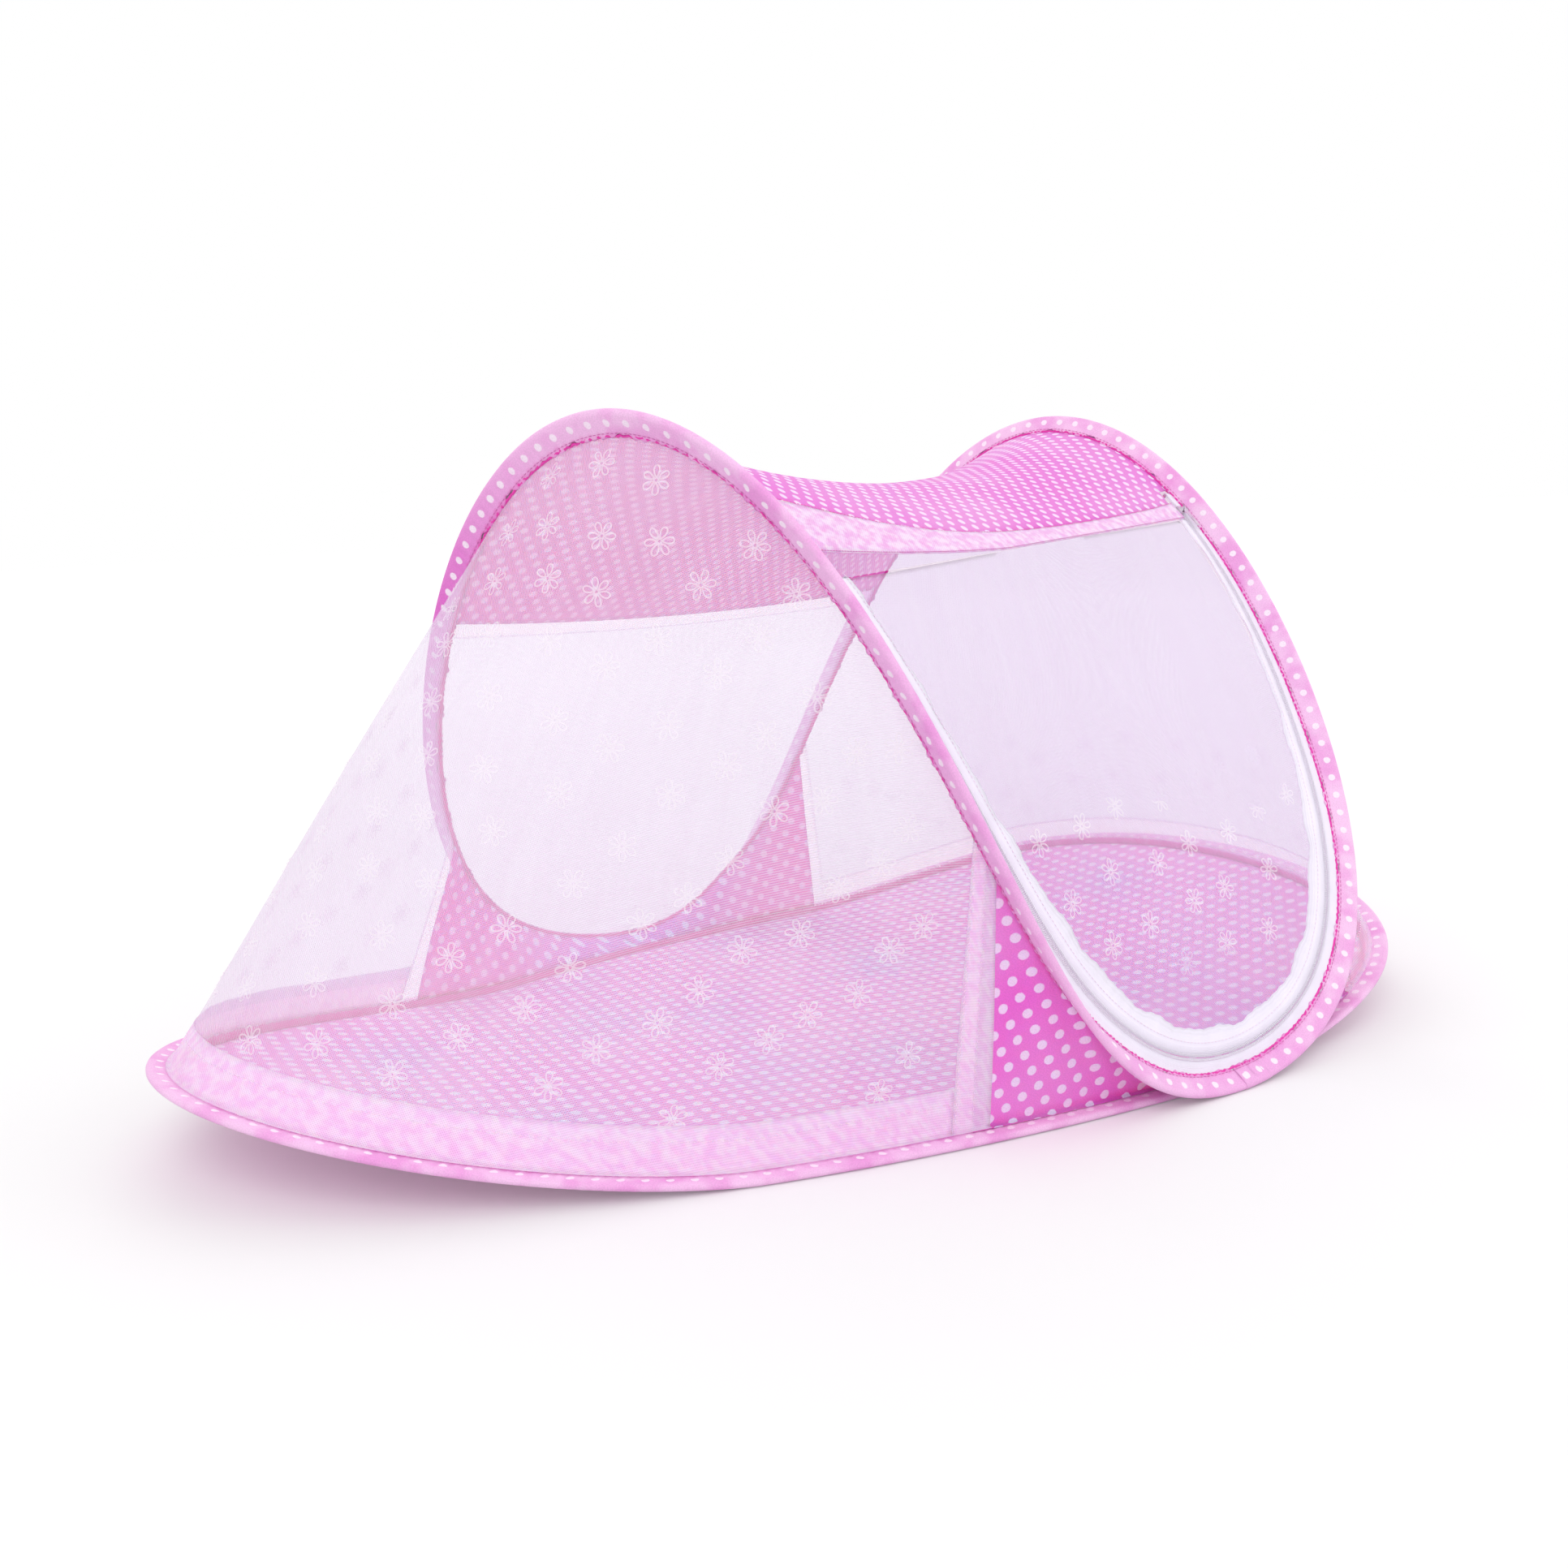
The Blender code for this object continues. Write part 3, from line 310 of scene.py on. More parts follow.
def mesh_piece(name, points, faces, look=None, uv=None, edge=None):
    """One object; uv is given for each face corner, edge for each point, both in metres."""
    mesh = bpy.data.meshes.new(name)
    mesh.from_pydata(np.asarray(points).tolist(), [], [list(map(int, f)) for f in faces])
    if uv is not None:
        layer = mesh.uv_layers.new(name="Cloth")
        layer.uv.foreach_set("vector", np.asarray(uv, np.float32).ravel())
    if edge is not None:
        attribute = mesh.attributes.new("edge", "FLOAT", "POINT")
        attribute.data.foreach_set("value", np.asarray(edge, np.float32).ravel())
    mesh.polygons.foreach_set("use_smooth", [True] * len(mesh.polygons))
    mesh.update()
    if look:
        mesh.materials.append(MATERIALS[look])
    obj = bpy.data.objects.new(name, mesh)
    bpy.context.scene.collection.objects.link(obj)
    return obj


def grid_normals(points):
    normals = unit(np.cross(np.gradient(points, axis=0), np.gradient(points, axis=1)))
    return normals if (normals * (points - INSIDE)).sum(-1).mean() > 0 else -normals


def grid_piece(name, points, flat, look, thickness=0.0, edge=None, raised=0.0):
    """A cloth over a grid of points: one layer where the thickness is zero, a closed shell otherwise."""
    normals = grid_normals(points)
    points = points + raised * normals
    count = points[..., 0].size
    index = np.arange(count).reshape(points.shape[:2])
    faces = np.stack([index[:-1, :-1], index[:-1, 1:], index[1:, 1:], index[1:, :-1]], -1).reshape(-1, 4)
    a, b, c, d = points.reshape(-1, 3)[faces.T]
    if (np.cross(c - a, d - b) * (a - INSIDE)).sum() <= 0:
        faces = faces[:, ::-1]
    flat = flat.reshape(-1, 2)
    edge = None if edge is None else edge.ravel()
    if not thickness:
        return mesh_piece(name, points.reshape(-1, 3), faces, look, flat[faces.ravel()], edge)
    both = np.concatenate([(points + s * thickness / 2 * normals).reshape(-1, 3) for s in (1, -1)])
    rim = np.concatenate([index[:, 0], index[-1, 1:], index[-2::-1, -1], index[0, -2:0:-1]])
    after = np.roll(rim, -1)
    wall = np.stack([rim, after, after + count, rim + count], -1)
    if (np.stack([faces, np.roll(faces, -1, 1)], -1) == (rim[0], after[0])).all(-1).any():
        wall = wall[:, ::-1]
    every = np.concatenate([faces, faces[:, ::-1] + count, wall])
    flats, edges = np.tile(flat, (2, 1)), None if edge is None else np.tile(edge, 2)
    obj = mesh_piece(name, both, every, look, flats[every.ravel()], edges)
    obj.data.polygons.foreach_set("use_smooth", [True] * (len(every) - len(wall)) + [False] * len(wall))
    return obj


def sweep_piece(name, rings, along, around, closed, look, painted_shade=None):
    """Rings of a closed section carried along a path, with metres along and around as its flat places."""
    count, sides = rings.shape[:2]
    k, j = np.divmod(np.arange((count if closed else count - 1) * sides), sides)
    near, after = (j + 1) % sides, (k + 1) % count
    faces = np.stack([k * sides + j, k * sides + near, after * sides + near, after * sides + j], -1)
    ahead = np.where(k + 1 < count, along[np.minimum(k + 1, count - 1)], along[-1] + (along[1] - along[0]))
    uv = np.stack([along[k], around[j], along[k], around[near], ahead, around[near], ahead, around[j]], -1)
    uv = uv.reshape(-1, 2)
    if not closed:
        i = np.arange(sides // 2 - 1)
        cap = np.stack([i, i + 1, sides - 2 - i, sides - 1 - i], -1)
        for end, quads in ((0, cap), (count - 1, cap[:, ::-1])):
            faces = np.concatenate([faces, quads + end * sides])
            corners = np.stack([along[end] + 0 * around[quads], around[quads]], -1)
            uv = np.concatenate([uv, corners.reshape(-1, 2)])
    # A sleeve's painted shade, one value a ring, goes into the edge attribute.
    painted_shade = None if painted_shade is None else np.repeat(painted_shade, sides)
    obj = mesh_piece(name, rings.reshape(-1, 3), faces, look, uv, painted_shade)
    bm = bmesh.new()
    bm.from_mesh(obj.data)
    bmesh.ops.recalc_face_normals(bm, faces=bm.faces)
    bm.to_mesh(obj.data)
    bm.free()
    return obj


def scattered(name, local, faces, centres, first, second, third, look):
    """Copies of one small shape as one mesh, each at its own place and on its own three axes."""
    points = (centres[:, None] + local[None, :, :1] * first[:, None] + local[None, :, 1:2] * second[:, None]
              + local[None, :, 2:] * third[:, None])
    every = faces[None] + (np.arange(len(centres)) * len(local))[:, None, None]
    return mesh_piece(name, points.reshape(-1, 3), every.reshape(-1, 4), look)


# Nodes

class Nodes:
    """Short calls that add nodes to a tree and hand back their sockets."""

    def __init__(self, tree):
        self.tree = tree

    def put(self, socket, value):
        if isinstance(value, bpy.types.NodeSocket):
            self.tree.links.new(value, socket)
        elif value is not None:
            socket.default_value = value

    def node(self, kind, *values, **settings):
        made = self.tree.nodes.new("ShaderNode" + kind)
        for key, value in settings.items():
            setattr(made, key, value)
        for socket, value in zip(made.inputs, values):
            self.put(socket, value)
        return made

    def math(self, operation, *values, clamp=False):
        return self.node("Math", *values, operation=operation, use_clamp=clamp).outputs[0]

    def times(self, first, second, clamp=False):
        return self.math("MULTIPLY", first, second, clamp=clamp)

    def plus(self, first, second):
        return self.math("ADD", first, second)

    def minus(self, first, second):
        return self.math("SUBTRACT", first, second)

    def place(self):
        return self.node("TexCoord").outputs["Object"]

    def ramp(self, value, low, high, start=0.0, end=1.0, smooth=True):
        kind = "SMOOTHSTEP" if smooth else "LINEAR"
        return self.node("MapRange", value, low, high, start, end, interpolation_type=kind).outputs[0]

    def rays(self):
        """One for rays from the camera, a mirror or through glass, zero for the rest."""
        path = self.node("LightPath").outputs
        value = path["Is Camera Ray"]
        for other in ("Is Glossy Ray", "Is Transmission Ray"):
            value = self.math("MAXIMUM", value, path[other])
        return value


class Shade(Nodes):
    """A material: the principled shader and the nodes that feed it."""

    def __init__(self, name, colour, roughness=0.8, metallic=0.0, sheen=0.0, specular=0.3, thin=0.0):
        self.material = bpy.data.materials.new(name)
        self.material.use_nodes = True
        super().__init__(self.material.node_tree)
        self.inputs = self.tree.nodes["Principled BSDF"].inputs
        values = {"Base Color": (*colour, 1), "Roughness": roughness, "Metallic": metallic,
                  "Sheen Weight": sheen, "Specular IOR Level": specular, "Subsurface Weight": thin,
                  "Subsurface Scale": 0.006}
        for key, value in values.items():
            self.inputs[key].default_value = value

    def flat(self):
        return self.node("UVMap", uv_map="Cloth").outputs[0]

    def edge(self):
        return self.node("Attribute", attribute_name="edge").outputs["Fac"]

    def split(self, vector):
        return self.node("SeparateXYZ", vector).outputs[:2]

    def turned(self, vector, degrees, scale=1.0):
        return self.node("Mapping", vector, None, (0, 0, np.radians(degrees)), (scale,) * 3).outputs[0]

    def noise(self, vector, scale, detail=2.0, roughness=0.5):
        made = self.node("TexNoise", vector)
        for key, value in (("Scale", scale), ("Detail", detail), ("Roughness", roughness)):
            made.inputs[key].default_value = value
        return made.outputs[0]

    def mix(self, share, first, second, blend_type="MIX"):
        made = self.node("Mix", share, data_type="RGBA", blend_type=blend_type)
        for socket, value in ((made.inputs[6], first), (made.inputs[7], second)):
            self.put(socket, value if isinstance(value, bpy.types.NodeSocket) else (*value, 1))
        return made.outputs[2]

    def wave(self, value, length):
        return self.math("SINE", self.times(value, 2 * np.pi / length))

    def lattice(self, vector, pitch, turn):
        """Distance in metres to the nearest point of a square lattice, turned by so many degrees."""
        made = self.node("TexVoronoi", self.turned(vector, turn), voronoi_dimensions="2D", feature="F1")
        made.inputs["Scale"].default_value = 1 / pitch
        made.inputs["Randomness"].default_value = 0.0
        return self.times(made.outputs["Distance"], pitch)

    def saw(self, vector, turn, pitch):
        """From 0 midway between the lines of a turned grating to 0.5 on them."""
        u, _ = self.split(self.turned(vector, turn, 1 / pitch))
        return self.math("ABSOLUTE", self.minus(self.math("FRACT", u), 0.5))

    def done(self, colour, height, distance, strength, rough=None, alpha=None):
        """Joins colour, relief, roughness and openness to the shader, and gives the material back."""
        relief = self.node("Bump", strength, distance)
        self.put(relief.inputs["Height"], height)
        for key, value in (("Base Color", colour), ("Roughness", rough), ("Alpha", alpha),
                           ("Normal", relief.outputs[0])):
            self.put(self.inputs[key], value)
        return self.material


def srgb(colour):
    values = (c / 255 for c in colour)
    return tuple(v / 12.92 if v <= 0.04045 else ((v + 0.055) / 1.055) ** 2.4 for v in values)


def shaded(colour, share):
    return tuple(c * share for c in colour)


def finish_cloth(s, base, flat):
    """Slow fading, thread noise and weave relief that every printed cloth has."""
    slow = s.ramp(s.noise(s.place(), 7.0), 0.35, 0.65)
    worn = s.mix(s.times(slow, 0.16), base, (1.0, 0.80, 0.95))
    grain = s.ramp(s.noise(flat, 900.0, 1.0), 0.3, 0.7, 0.93, 1.04)
    colour = s.mix(1.0, worn, s.node("CombineXYZ", grain, grain, grain).outputs[0], "MULTIPLY")
    weave = s.times(*(s.wave(thread_way, WEAVE_PITCH) for thread_way in s.split(flat)))
    height = s.plus(weave, s.times(s.noise(flat, 420.0), 0.8))
    return s.done(colour, height, 0.00012, 0.7, s.ramp(s.noise(flat, 60.0), 0.3, 0.7, 0.74, 0.9))


def dotted_cloth(name, base, dark, dot, pitch, radius, turn):
    """Printed polka dots on a plain weave, with painted shade near the seams."""
    base, dark, dot = srgb(base), srgb(dark), srgb(dot)
    s = Shade(name, base, sheen=0.15, thin=0.5)
    flat = s.flat()
    # Painted shade: the cloth turns to its dark colour within SEAM_SHADE of a seam.
    near = s.ramp(s.edge(), 0.0, SEAM_SHADE, 1.0, 0.0)
    mood = s.ramp(s.noise(s.place(), 4.0), 0.3, 0.7)
    ground = s.mix(s.times(mood, 0.22), base, dark)
    ground = s.mix(s.times(near, 0.8), ground, dark)
    wobble = s.times(s.minus(s.noise(flat, 500.0), 0.5), 0.0008)
    distance = s.plus(s.lattice(flat, pitch, turn), wobble)
    spot = s.ramp(distance, radius * 0.82, radius * 1.1, 1.0, 0.0)
    return finish_cloth(s, s.mix(spot, ground, dot), flat)


def sleeve_cloth(name, base, dark, dot):
    """The binding's tape: one row of dots on each leaf, painted shadow along its gathered mouth, and painted
    shade from the edge attribute.
    """
    base, dark, dot = srgb(base), srgb(dark), srgb(dot)
    s = Shade(name, base, sheen=0.15)
    # Here the edge attribute holds the sleeve's painted shade.
    flat, painted_shade = s.flat(), s.edge()
    x, y = s.split(flat)
    y = s.math("ABSOLUTE", y)
    across = s.minus(y, DOT_ROW)
    along = s.times(s.minus(s.math("FRACT", s.math("DIVIDE", x, DOT_SPACING)), 0.5), DOT_SPACING)
    distance = s.math("SQRT", s.plus(s.times(along, along), s.times(across, across)))
    spot = s.ramp(distance, DOT_CORE, DOT_RIM, 1.0, 0.0)
    # Painted shadow along the mouth, stronger where the sleeve carries more painted shade.
    mouth = s.ramp(s.plus(y, s.times(s.wave(x, PUCKER_LENGTH), 0.0008)), MOUTH_SHADE_START, MOUTH_SHADE_END)
    mood = s.ramp(s.noise(s.place(), 38.0, 2.0), 0.38, 0.66, 0.0, 0.5)
    # Random tone and painted shade both draw the tape towards its dark colour.
    ground = s.mix(s.math("MAXIMUM", mood, painted_shade), base, dark)
    ground = s.mix(s.times(mouth, s.plus(0.2, s.times(painted_shade, 0.6))), ground, srgb(DEEP))
    return finish_cloth(s, s.mix(spot, ground, dot), flat)


def net_cloth(name, colour, cover):
    """Open diamond mesh: soft threads over an even veil, a little denser in folds that fan out."""
    s = Shade(name, colour, roughness=0.75, sheen=0.2)
    flat = s.flat()
    x, y = s.split(flat)
    fold = s.noise(s.node("CombineXYZ", x, s.times(y, 0.06)).outputs[0], 95.0, 2.0)
    width = s.plus(cover, s.times(s.minus(fold, 0.5), 0.10))
    lines = [s.ramp(s.minus(s.times(s.saw(flat, turn, NET_PITCH), 2.0), width), -0.25, 0.25, 1.0, 0.0)
             for turn in (MESH_TURN, -MESH_TURN)]
    open_share = s.minus(1.0, width)
    even = s.minus(1.0, s.times(open_share, open_share))
    veil = s.plus(s.times(even, 0.6), s.times(s.math("MAXIMUM", *lines), 0.4))
    s.material.surface_render_method = "DITHERED"
    slow = s.ramp(s.noise(s.place(), 9.0), 0.3, 0.7)
    tint = s.mix(s.times(slow, 0.4), colour, shaded(colour, 0.94))
    return s.done(tint, s.noise(flat, 60.0, 2.0), 0.0004, 0.3, alpha=s.times(veil, 0.96, clamp=True))


def hem_cloth(name, colour, cover):
    """A hem of net folded over itself: nearly closed, with the mesh of both layers showing as grain."""
    colour = srgb(colour)
    s = Shade(name, colour, sheen=0.1, thin=0.3)
    flat = s.flat()
    a, b = (s.saw(flat, turn, HEM_PITCH) for turn in (MESH_TURN, -MESH_TURN))
    hole = s.times(s.math("GREATER_THAN", a, 0.27), s.math("GREATER_THAN", b, 0.27))
    blotch = s.ramp(s.noise(flat, 130.0, 3.0), 0.35, 0.65)
    s.material.surface_render_method = "DITHERED"
    tint = s.mix(s.times(blotch, 0.8), colour, tuple(c + (1 - c) * 0.6 for c in colour))
    alpha = s.times(s.minus(1.0, s.times(hole, 0.25)), cover, clamp=True)
    return s.done(tint, s.plus(a, b), 0.0002, 0.4, alpha=alpha)


def thread(name, colour, cover=1.0):
    colour = srgb(colour)
    s = Shade(name, colour, roughness=0.6, sheen=0.3)
    twist = s.noise(s.place(), 2600.0, 1.0)
    tint = s.mix(s.ramp(twist, 0.35, 0.65), shaded(colour, 0.86), colour)
    return s.done(tint, twist, 0.0001, 0.6, alpha=cover)


def ribbed_tape(name, colour):
    """Zip tape: fine ribs along it and a faint lavender shade."""
    colour = srgb(colour)
    s = Shade(name, colour, sheen=0.15)
    flat = s.flat()
    x, y = s.split(flat)
    slow = s.ramp(s.noise(flat, 35.0), 0.35, 0.65)
    tint = s.mix(s.times(slow, 0.5), colour, shaded(colour, 0.93))
    ribs = s.plus(s.wave(y, 0.0011), s.times(s.wave(x, 0.0008), 0.5))
    return s.done(tint, ribs, 0.00012, 0.6, s.ramp(s.noise(flat, 200.0), 0.3, 0.7, 0.62, 0.8))


def nylon(name, colour):
    colour = srgb(colour)
    s = Shade(name, colour, roughness=0.35, specular=0.5)
    spots = s.noise(s.place(), 900.0, 2.0)
    tint = s.mix(s.ramp(spots, 0.3, 0.7), colour, shaded(colour, 0.9))
    return s.done(tint, spots, 0.00005, 0.5, s.ramp(spots, 0.3, 0.7, 0.3, 0.45))


def drawn_metal(name, colour, roughness):
    s = Shade(name, colour, roughness=roughness, metallic=1.0, specular=0.5)
    place = s.place()
    scratch = s.noise(place, 1800.0, 3.0, 0.7)
    dull = s.ramp(s.noise(place, 160.0, 2.0), 0.35, 0.7)
    rough = s.ramp(scratch, 0.3, 0.7, roughness * 0.8, roughness * 1.4)
    return s.done(s.mix(dull, colour, shaded(colour, 0.82)), scratch, 0.00003, 0.5, rough)


# Dark pink: the gussets' darker tone, and the colour of the sleeves' painted mouth shadow.
DEEP = (230, 50, 184)
MATERIALS = {
    "gusset": dotted_cloth("gusset_dots", (247, 112, 220), DEEP, (255, 214, 250), 0.0150, 0.0040, 53.0),
    "roof": dotted_cloth("roof_dots", (232, 114, 212), (218, 74, 192), (254, 214, 248), 0.0118, 0.0034, 45.0),
    "mat": dotted_cloth("floor_dots", (246, 116, 216), (240, 96, 204), (255, 226, 252), 0.0150, 0.0043, 0.0),
    "sleeve": sleeve_cloth("sleeve_dots", (249, 198, 240), (232, 108, 210), (255, 238, 253)),
    "net": net_cloth("net_mesh", (0.86, 0.82, 0.95), 0.25),
    "door_net": net_cloth("door_net_mesh", (0.71, 0.62, 0.84), 0.27),
    "hem": hem_cloth("net_hem", (252, 208, 246), 0.66),
    # A more open hem whose paler colour is painted light, lifting the hems that are mostly seen in the dimmer
    # light inside the tent.
    "open_hem_painted_light": hem_cloth("net_hem_open", (253, 234, 253), 0.30),
    "roof_hem": hem_cloth("roof_hem_cloth", (238, 176, 228), 0.92),
    "lace": thread("lace_thread", (255, 250, 255), 0.45),
    "soft_lace": thread("soft_lace_thread", (255, 250, 255), 0.25),
    "stitch": thread("seam_thread", (216, 110, 186)),
    "seam": thread("deep_seam_thread", (238, 60, 178)),
    "pale_stitch": thread("hem_thread", (252, 226, 248)),
    "zip": ribbed_tape("zip_tape_cloth", (243, 236, 251)),
    "teeth": nylon("zip_coil", (248, 244, 253)),
    "metal": drawn_metal("plated_slider", (0.78, 0.76, 0.80), 0.28),
    "steel": drawn_metal("spring_steel", (0.55, 0.56, 0.58), 0.35),
}


# Attaching pieces

def settle(obj, body, slot, *nodes):
    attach(obj, body)
    obj.visible_shadow = slot not in ("net", "hem")
    if nodes:
        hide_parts(*nodes)
    return obj


def extents(obj):
    layer = obj.data.uv_layers["Cloth"].uv
    uv = np.empty(len(layer) * 2, np.float32)
    layer.foreach_get("vector", uv)
    size = np.ptp(uv.reshape(-1, 2), axis=0)
    return size.min(), size.max()


def cloth(obj, slot, nodes, size=None, body="tent"):
    """Attaches a cloth to its body and hides the nodes it replaces; it also works out the rectangle round its
    flat cut and its own area in one layer, which nothing uses.

    A curved strip fills so little of its rectangle that its mean width is worked out instead.
    """
    settle(obj, body, slot, *nodes)
    width, length = (float(side) for side in size or extents(obj))
    area = sum(face.area for face in obj.data.polygons) / (1 if slot == "net" else 2)
    if area < 0.35 * width * length:
        width = 1.05 * area / length
    width = max(width, 0.0102)
    return obj


# Sleeves over the wires

def carried(path, into, away, depths, offsets):
    """A section's points, by depth and offset, at each place of a path."""
    return path[:, None] + depths[..., None] * into[:, None] + offsets[..., None] * away[:, None]


def sleeve(name, path, into, away, closed, nodes, seed, painted_shade, swell=1.0):
    """A puckered sleeve with bulging leaves and a scalloped mouth; deep is how much painted shade it carries,
    from 0 to 1.
    """
    along, total = path_length(path, closed)
    outer = np.concatenate([SLEEVE_HALF[:0:-1] * (1, -1, 1), SLEEVE_HALF])
    depth, offset, share = np.concatenate([outer, outer[::-1]]).T
    leaf = path_length(SLEEVE_HALF[:, :2])[0]
    around = np.concatenate([-leaf[:0:-1], leaf])
    shrink = np.repeat([0, SLEEVE_WALL], len(outer))
    turn = 2 * np.pi * along * max(1, round(total / PUCKER_LENGTH)) / total
    wander = 0 * turn if closed else 0.9 * np.sin(turn / 7 + seed) + 0.7 * np.sin(turn / 17 + 2 * seed)
    side = np.sign(offset)
    pucker = np.where(side > 0, np.sin(turn + wander)[:, None], np.sin(turn + wander + 2.2)[:, None])
    slow = (0.0008 if closed else 0.0014) * (np.sin(turn / 5 + 3 * seed) + 0.7 * np.sin(turn / 3 + seed))
    frill = np.clip((depth - 0.0135) / 0.003, 0, 1) * (0.0006 * pucker + slow[:, None])
    depths = depth * swell + frill + np.where(depth < 0, shrink, 0)
    offsets = np.where(side, swell * offset + side * (0.00048 * share * pucker - shrink), 0)
    scale = max(1, round(total / DOT_SPACING)) * DOT_SPACING / total
    obj = sweep_piece(name, carried(path, into, away, depths, offsets), along * scale,
                      np.concatenate([around, around[::-1]]), closed, "sleeve", painted_shade)
    cloth(obj, "tape", nodes, (2 * leaf[-1], total))
    seam_bead(name + "_seam", path, into, away, along, total, closed)
    height = STITCH_HEIGHT * swell
    stitch_line(name + "_stitches", path, into, away, STITCH_DEPTH, (height, -height))


def seam_bead(name, path, into, away, along, total, closed):
    """The overlocked edge that closes a sleeve's mouth, ruffled where it runs round the floor."""
    around = np.linspace(0, 2 * np.pi, 8, endpoint=False)
    turn = (2 * np.pi * along * round(total / RUFFLE_LENGTH) / total)[:, None]
    sizes = (0.0174, 0.0021, 0.0042, 0.0014) if closed else (0.0163, 0.0014, 0.0028, 0.0006)
    middle, wide, high, ruffle = sizes
    depth = middle + wide * np.cos(around) + ruffle * np.sin(turn) * (0.6 + 0.4 * np.sin(turn / 9))
    rear = 1 + (0.4 * np.clip(path[:, 1:2] / 0.1, 0, 1) if closed else 0)
    offset = high * rear * np.sin(around) * (1 + 0.22 * np.sin(turn * 1.5))
    rings = carried(path, into, away, depth, np.maximum(offset, SLEEVE_WALL - TAPE_RADIUS))
    settle(sweep_piece(name, rings, along, 0.0018 * around, closed, "seam"), "tent", "tape")


def stitches(name, rows, body="tent", slot="tape", look="stitch", size=(0.0027, 0.0006, 0.00045)):
    """Short arched threads as one piece; a row gives their places and their ways along, across and up."""
    length, width, height = size
    x = np.repeat(np.linspace(-1, 1, 4), 4)
    a, b = np.tile([(-0.5, 0), (-0.3, 0.6), (0.3, 0.6), (0.5, 0)], (4, 1)).T
    rise = 1 - 0.55 * x * x
    local = np.stack([x * length / 2, a * width * rise, b * height * rise], -1)
    i, j = np.divmod(np.arange(12), 4)
    near = (j + 1) % 4
    faces = np.stack([4 * i + j, 4 * i + near, 4 * i + 4 + near, 4 * i + 4 + j], -1)
    faces = np.concatenate([faces, [(3, 2, 1, 0), (12, 13, 14, 15)]])
    parts = [np.concatenate(column) for column in zip(*rows)]
    settle(scattered(name, local, faces, *parts, look), body, slot)


def stitch_line(name, path, into, away, depth, heights, step=0.0042, look="stitch"):
    """Rows of stitches along a path, one at each height over it."""
    along, total = path_length(path)
    marks = np.arange(step / 2, total, step)
    rows = []
    for height in heights:
        inward = unit(at_marks(marks, along, into))
        upward = np.sign(height) * unit(at_marks(marks, along, away))
        centres = at_marks(marks, along, path + depth * into + height * away)
        rows.append((centres, unit(np.cross(inward, upward)), inward, upward))
    stitches(name, rows, look=look)


def bump_at(value, middle, width):
    return np.exp(-((value - middle) / width) ** 2)


def foot_cuff(name, foot, turn):
    """A short cuff round a foot of the hoop, turning from one arch's sleeve to the other's."""
    reach = 2.6
    places = np.linspace(-reach, reach, 17)
    ends = [hoop_frame(side, np.array([abs(foot - reach)])) for side in ("left", "right")]
    (first, first_away), (last, last_away) = ends[::turn]
    last_away = last_away * np.sign(first_away[0] @ last_away[0])
    share = (0.5 - 0.5 * np.cos(np.pi * (places + reach) / (2 * reach)))[:, None]
    along = tangent(hoop, foot + places)
    into = unit(square_to(blend(share, first, last), along))
    away = unit(square_to(square_to(blend(share, first_away, last_away), along), into))
    # The cuff carries a painted shade of 0.45 all along.
    sleeve(name, hoop(foot + places), into, away, False, [], 0.9, 0.45 + 0 * places, 1.09)


def make_sleeves():
    places = even_places(floor_ring, 0, 360, SLEEVE_STEP, True)
    ring = floor_ring(places)
    x, y, _ = ring.T
    # Painted shade on the floor sleeve: towards its rear side, near the tip at +x, and at one place on the
    # front side.
    painted_shade = 0.55 * np.clip((y + 0.05) / 0.2, 0, 1)
    painted_shade += 0.45 * bump_at(x, 0.48, 0.16) * np.clip((y + 0.25) / 0.2, 0, 1)
    painted_shade += 0.5 * bump_at(x, 0.22, 0.10) * (y < 0)
    sleeve("floor_sleeve", ring, *floor_frame(places), True, ["floor_binding"], 0.4, np.clip(painted_shade, 0, 1))
    for side, seed in (("left", 1.1), ("right", 2.3)):
        places = even_places(lambda d: hoop(arch_place(side, d)), FOOT_GAP, 180 - FOOT_GAP, SLEEVE_STEP)
        # Painted shade near each arch's front foot, and on the left arch round 45 and 118 degrees too.
        painted_shade = 0.45 * bump_at(places, 0, 16)
        if side == "left":
            painted_shade = painted_shade + bump_at(places, 118, 17) + 0.35 * bump_at(places, 45, 22)
        sleeve(side + "_arch_sleeve", hoop(arch_place(side, places)), *hoop_frame(side, places), False,
               [side + "_arch_binding"], seed, painted_shade)
    foot_cuff("front_foot_cuff", 0, 1)
    foot_cuff("rear_foot_cuff", 180, -1)


# Slopes: gusset, net, hems

def slope_grid(side, degrees, shares):
    """Points over the rippled slope, and each one's distances from the arch's seam and the floor's."""
    degrees, length = degrees[:, None] + 0 * shares, slope_length(side, degrees)[:, None]
    points = ruled_slope(side, degrees, shares)
    near, far = shares * length, (1 - shares) * length
    wave = ripple(degrees, near, far, length, FOLD_SEEDS[side])
    return points + wave[..., None] * grid_normals(points), near, far


def plane_flat(points):
    """Flat places on the plane that fits the piece best, for a lattice that isn't stretched."""
    p = points.reshape(-1, 3)
    middle = p.mean(0)
    return (points - middle) @ np.linalg.svd(p - middle, full_matrices=False)[2][:2].T


def tucked(points, flat, edge, first=None, last=None):
    """A grid with a further column that runs into a sleeve at its first side, its last side or both."""
    if first is not None:
        points = np.concatenate([first[:, None], points], 1)
        flat = np.concatenate([2 * flat[:, :1] - flat[:, 1:2], flat], 1)
        edge = np.concatenate([edge[:, :1], edge], 1)
    if last is not None:
        points = np.concatenate([points, last[:, None]], 1)
        flat = np.concatenate([flat, 2 * flat[:, -1:] - flat[:, -2:-1]], 1)
        edge = np.concatenate([edge, edge[:, -1:]], 1)
    return points, flat, edge


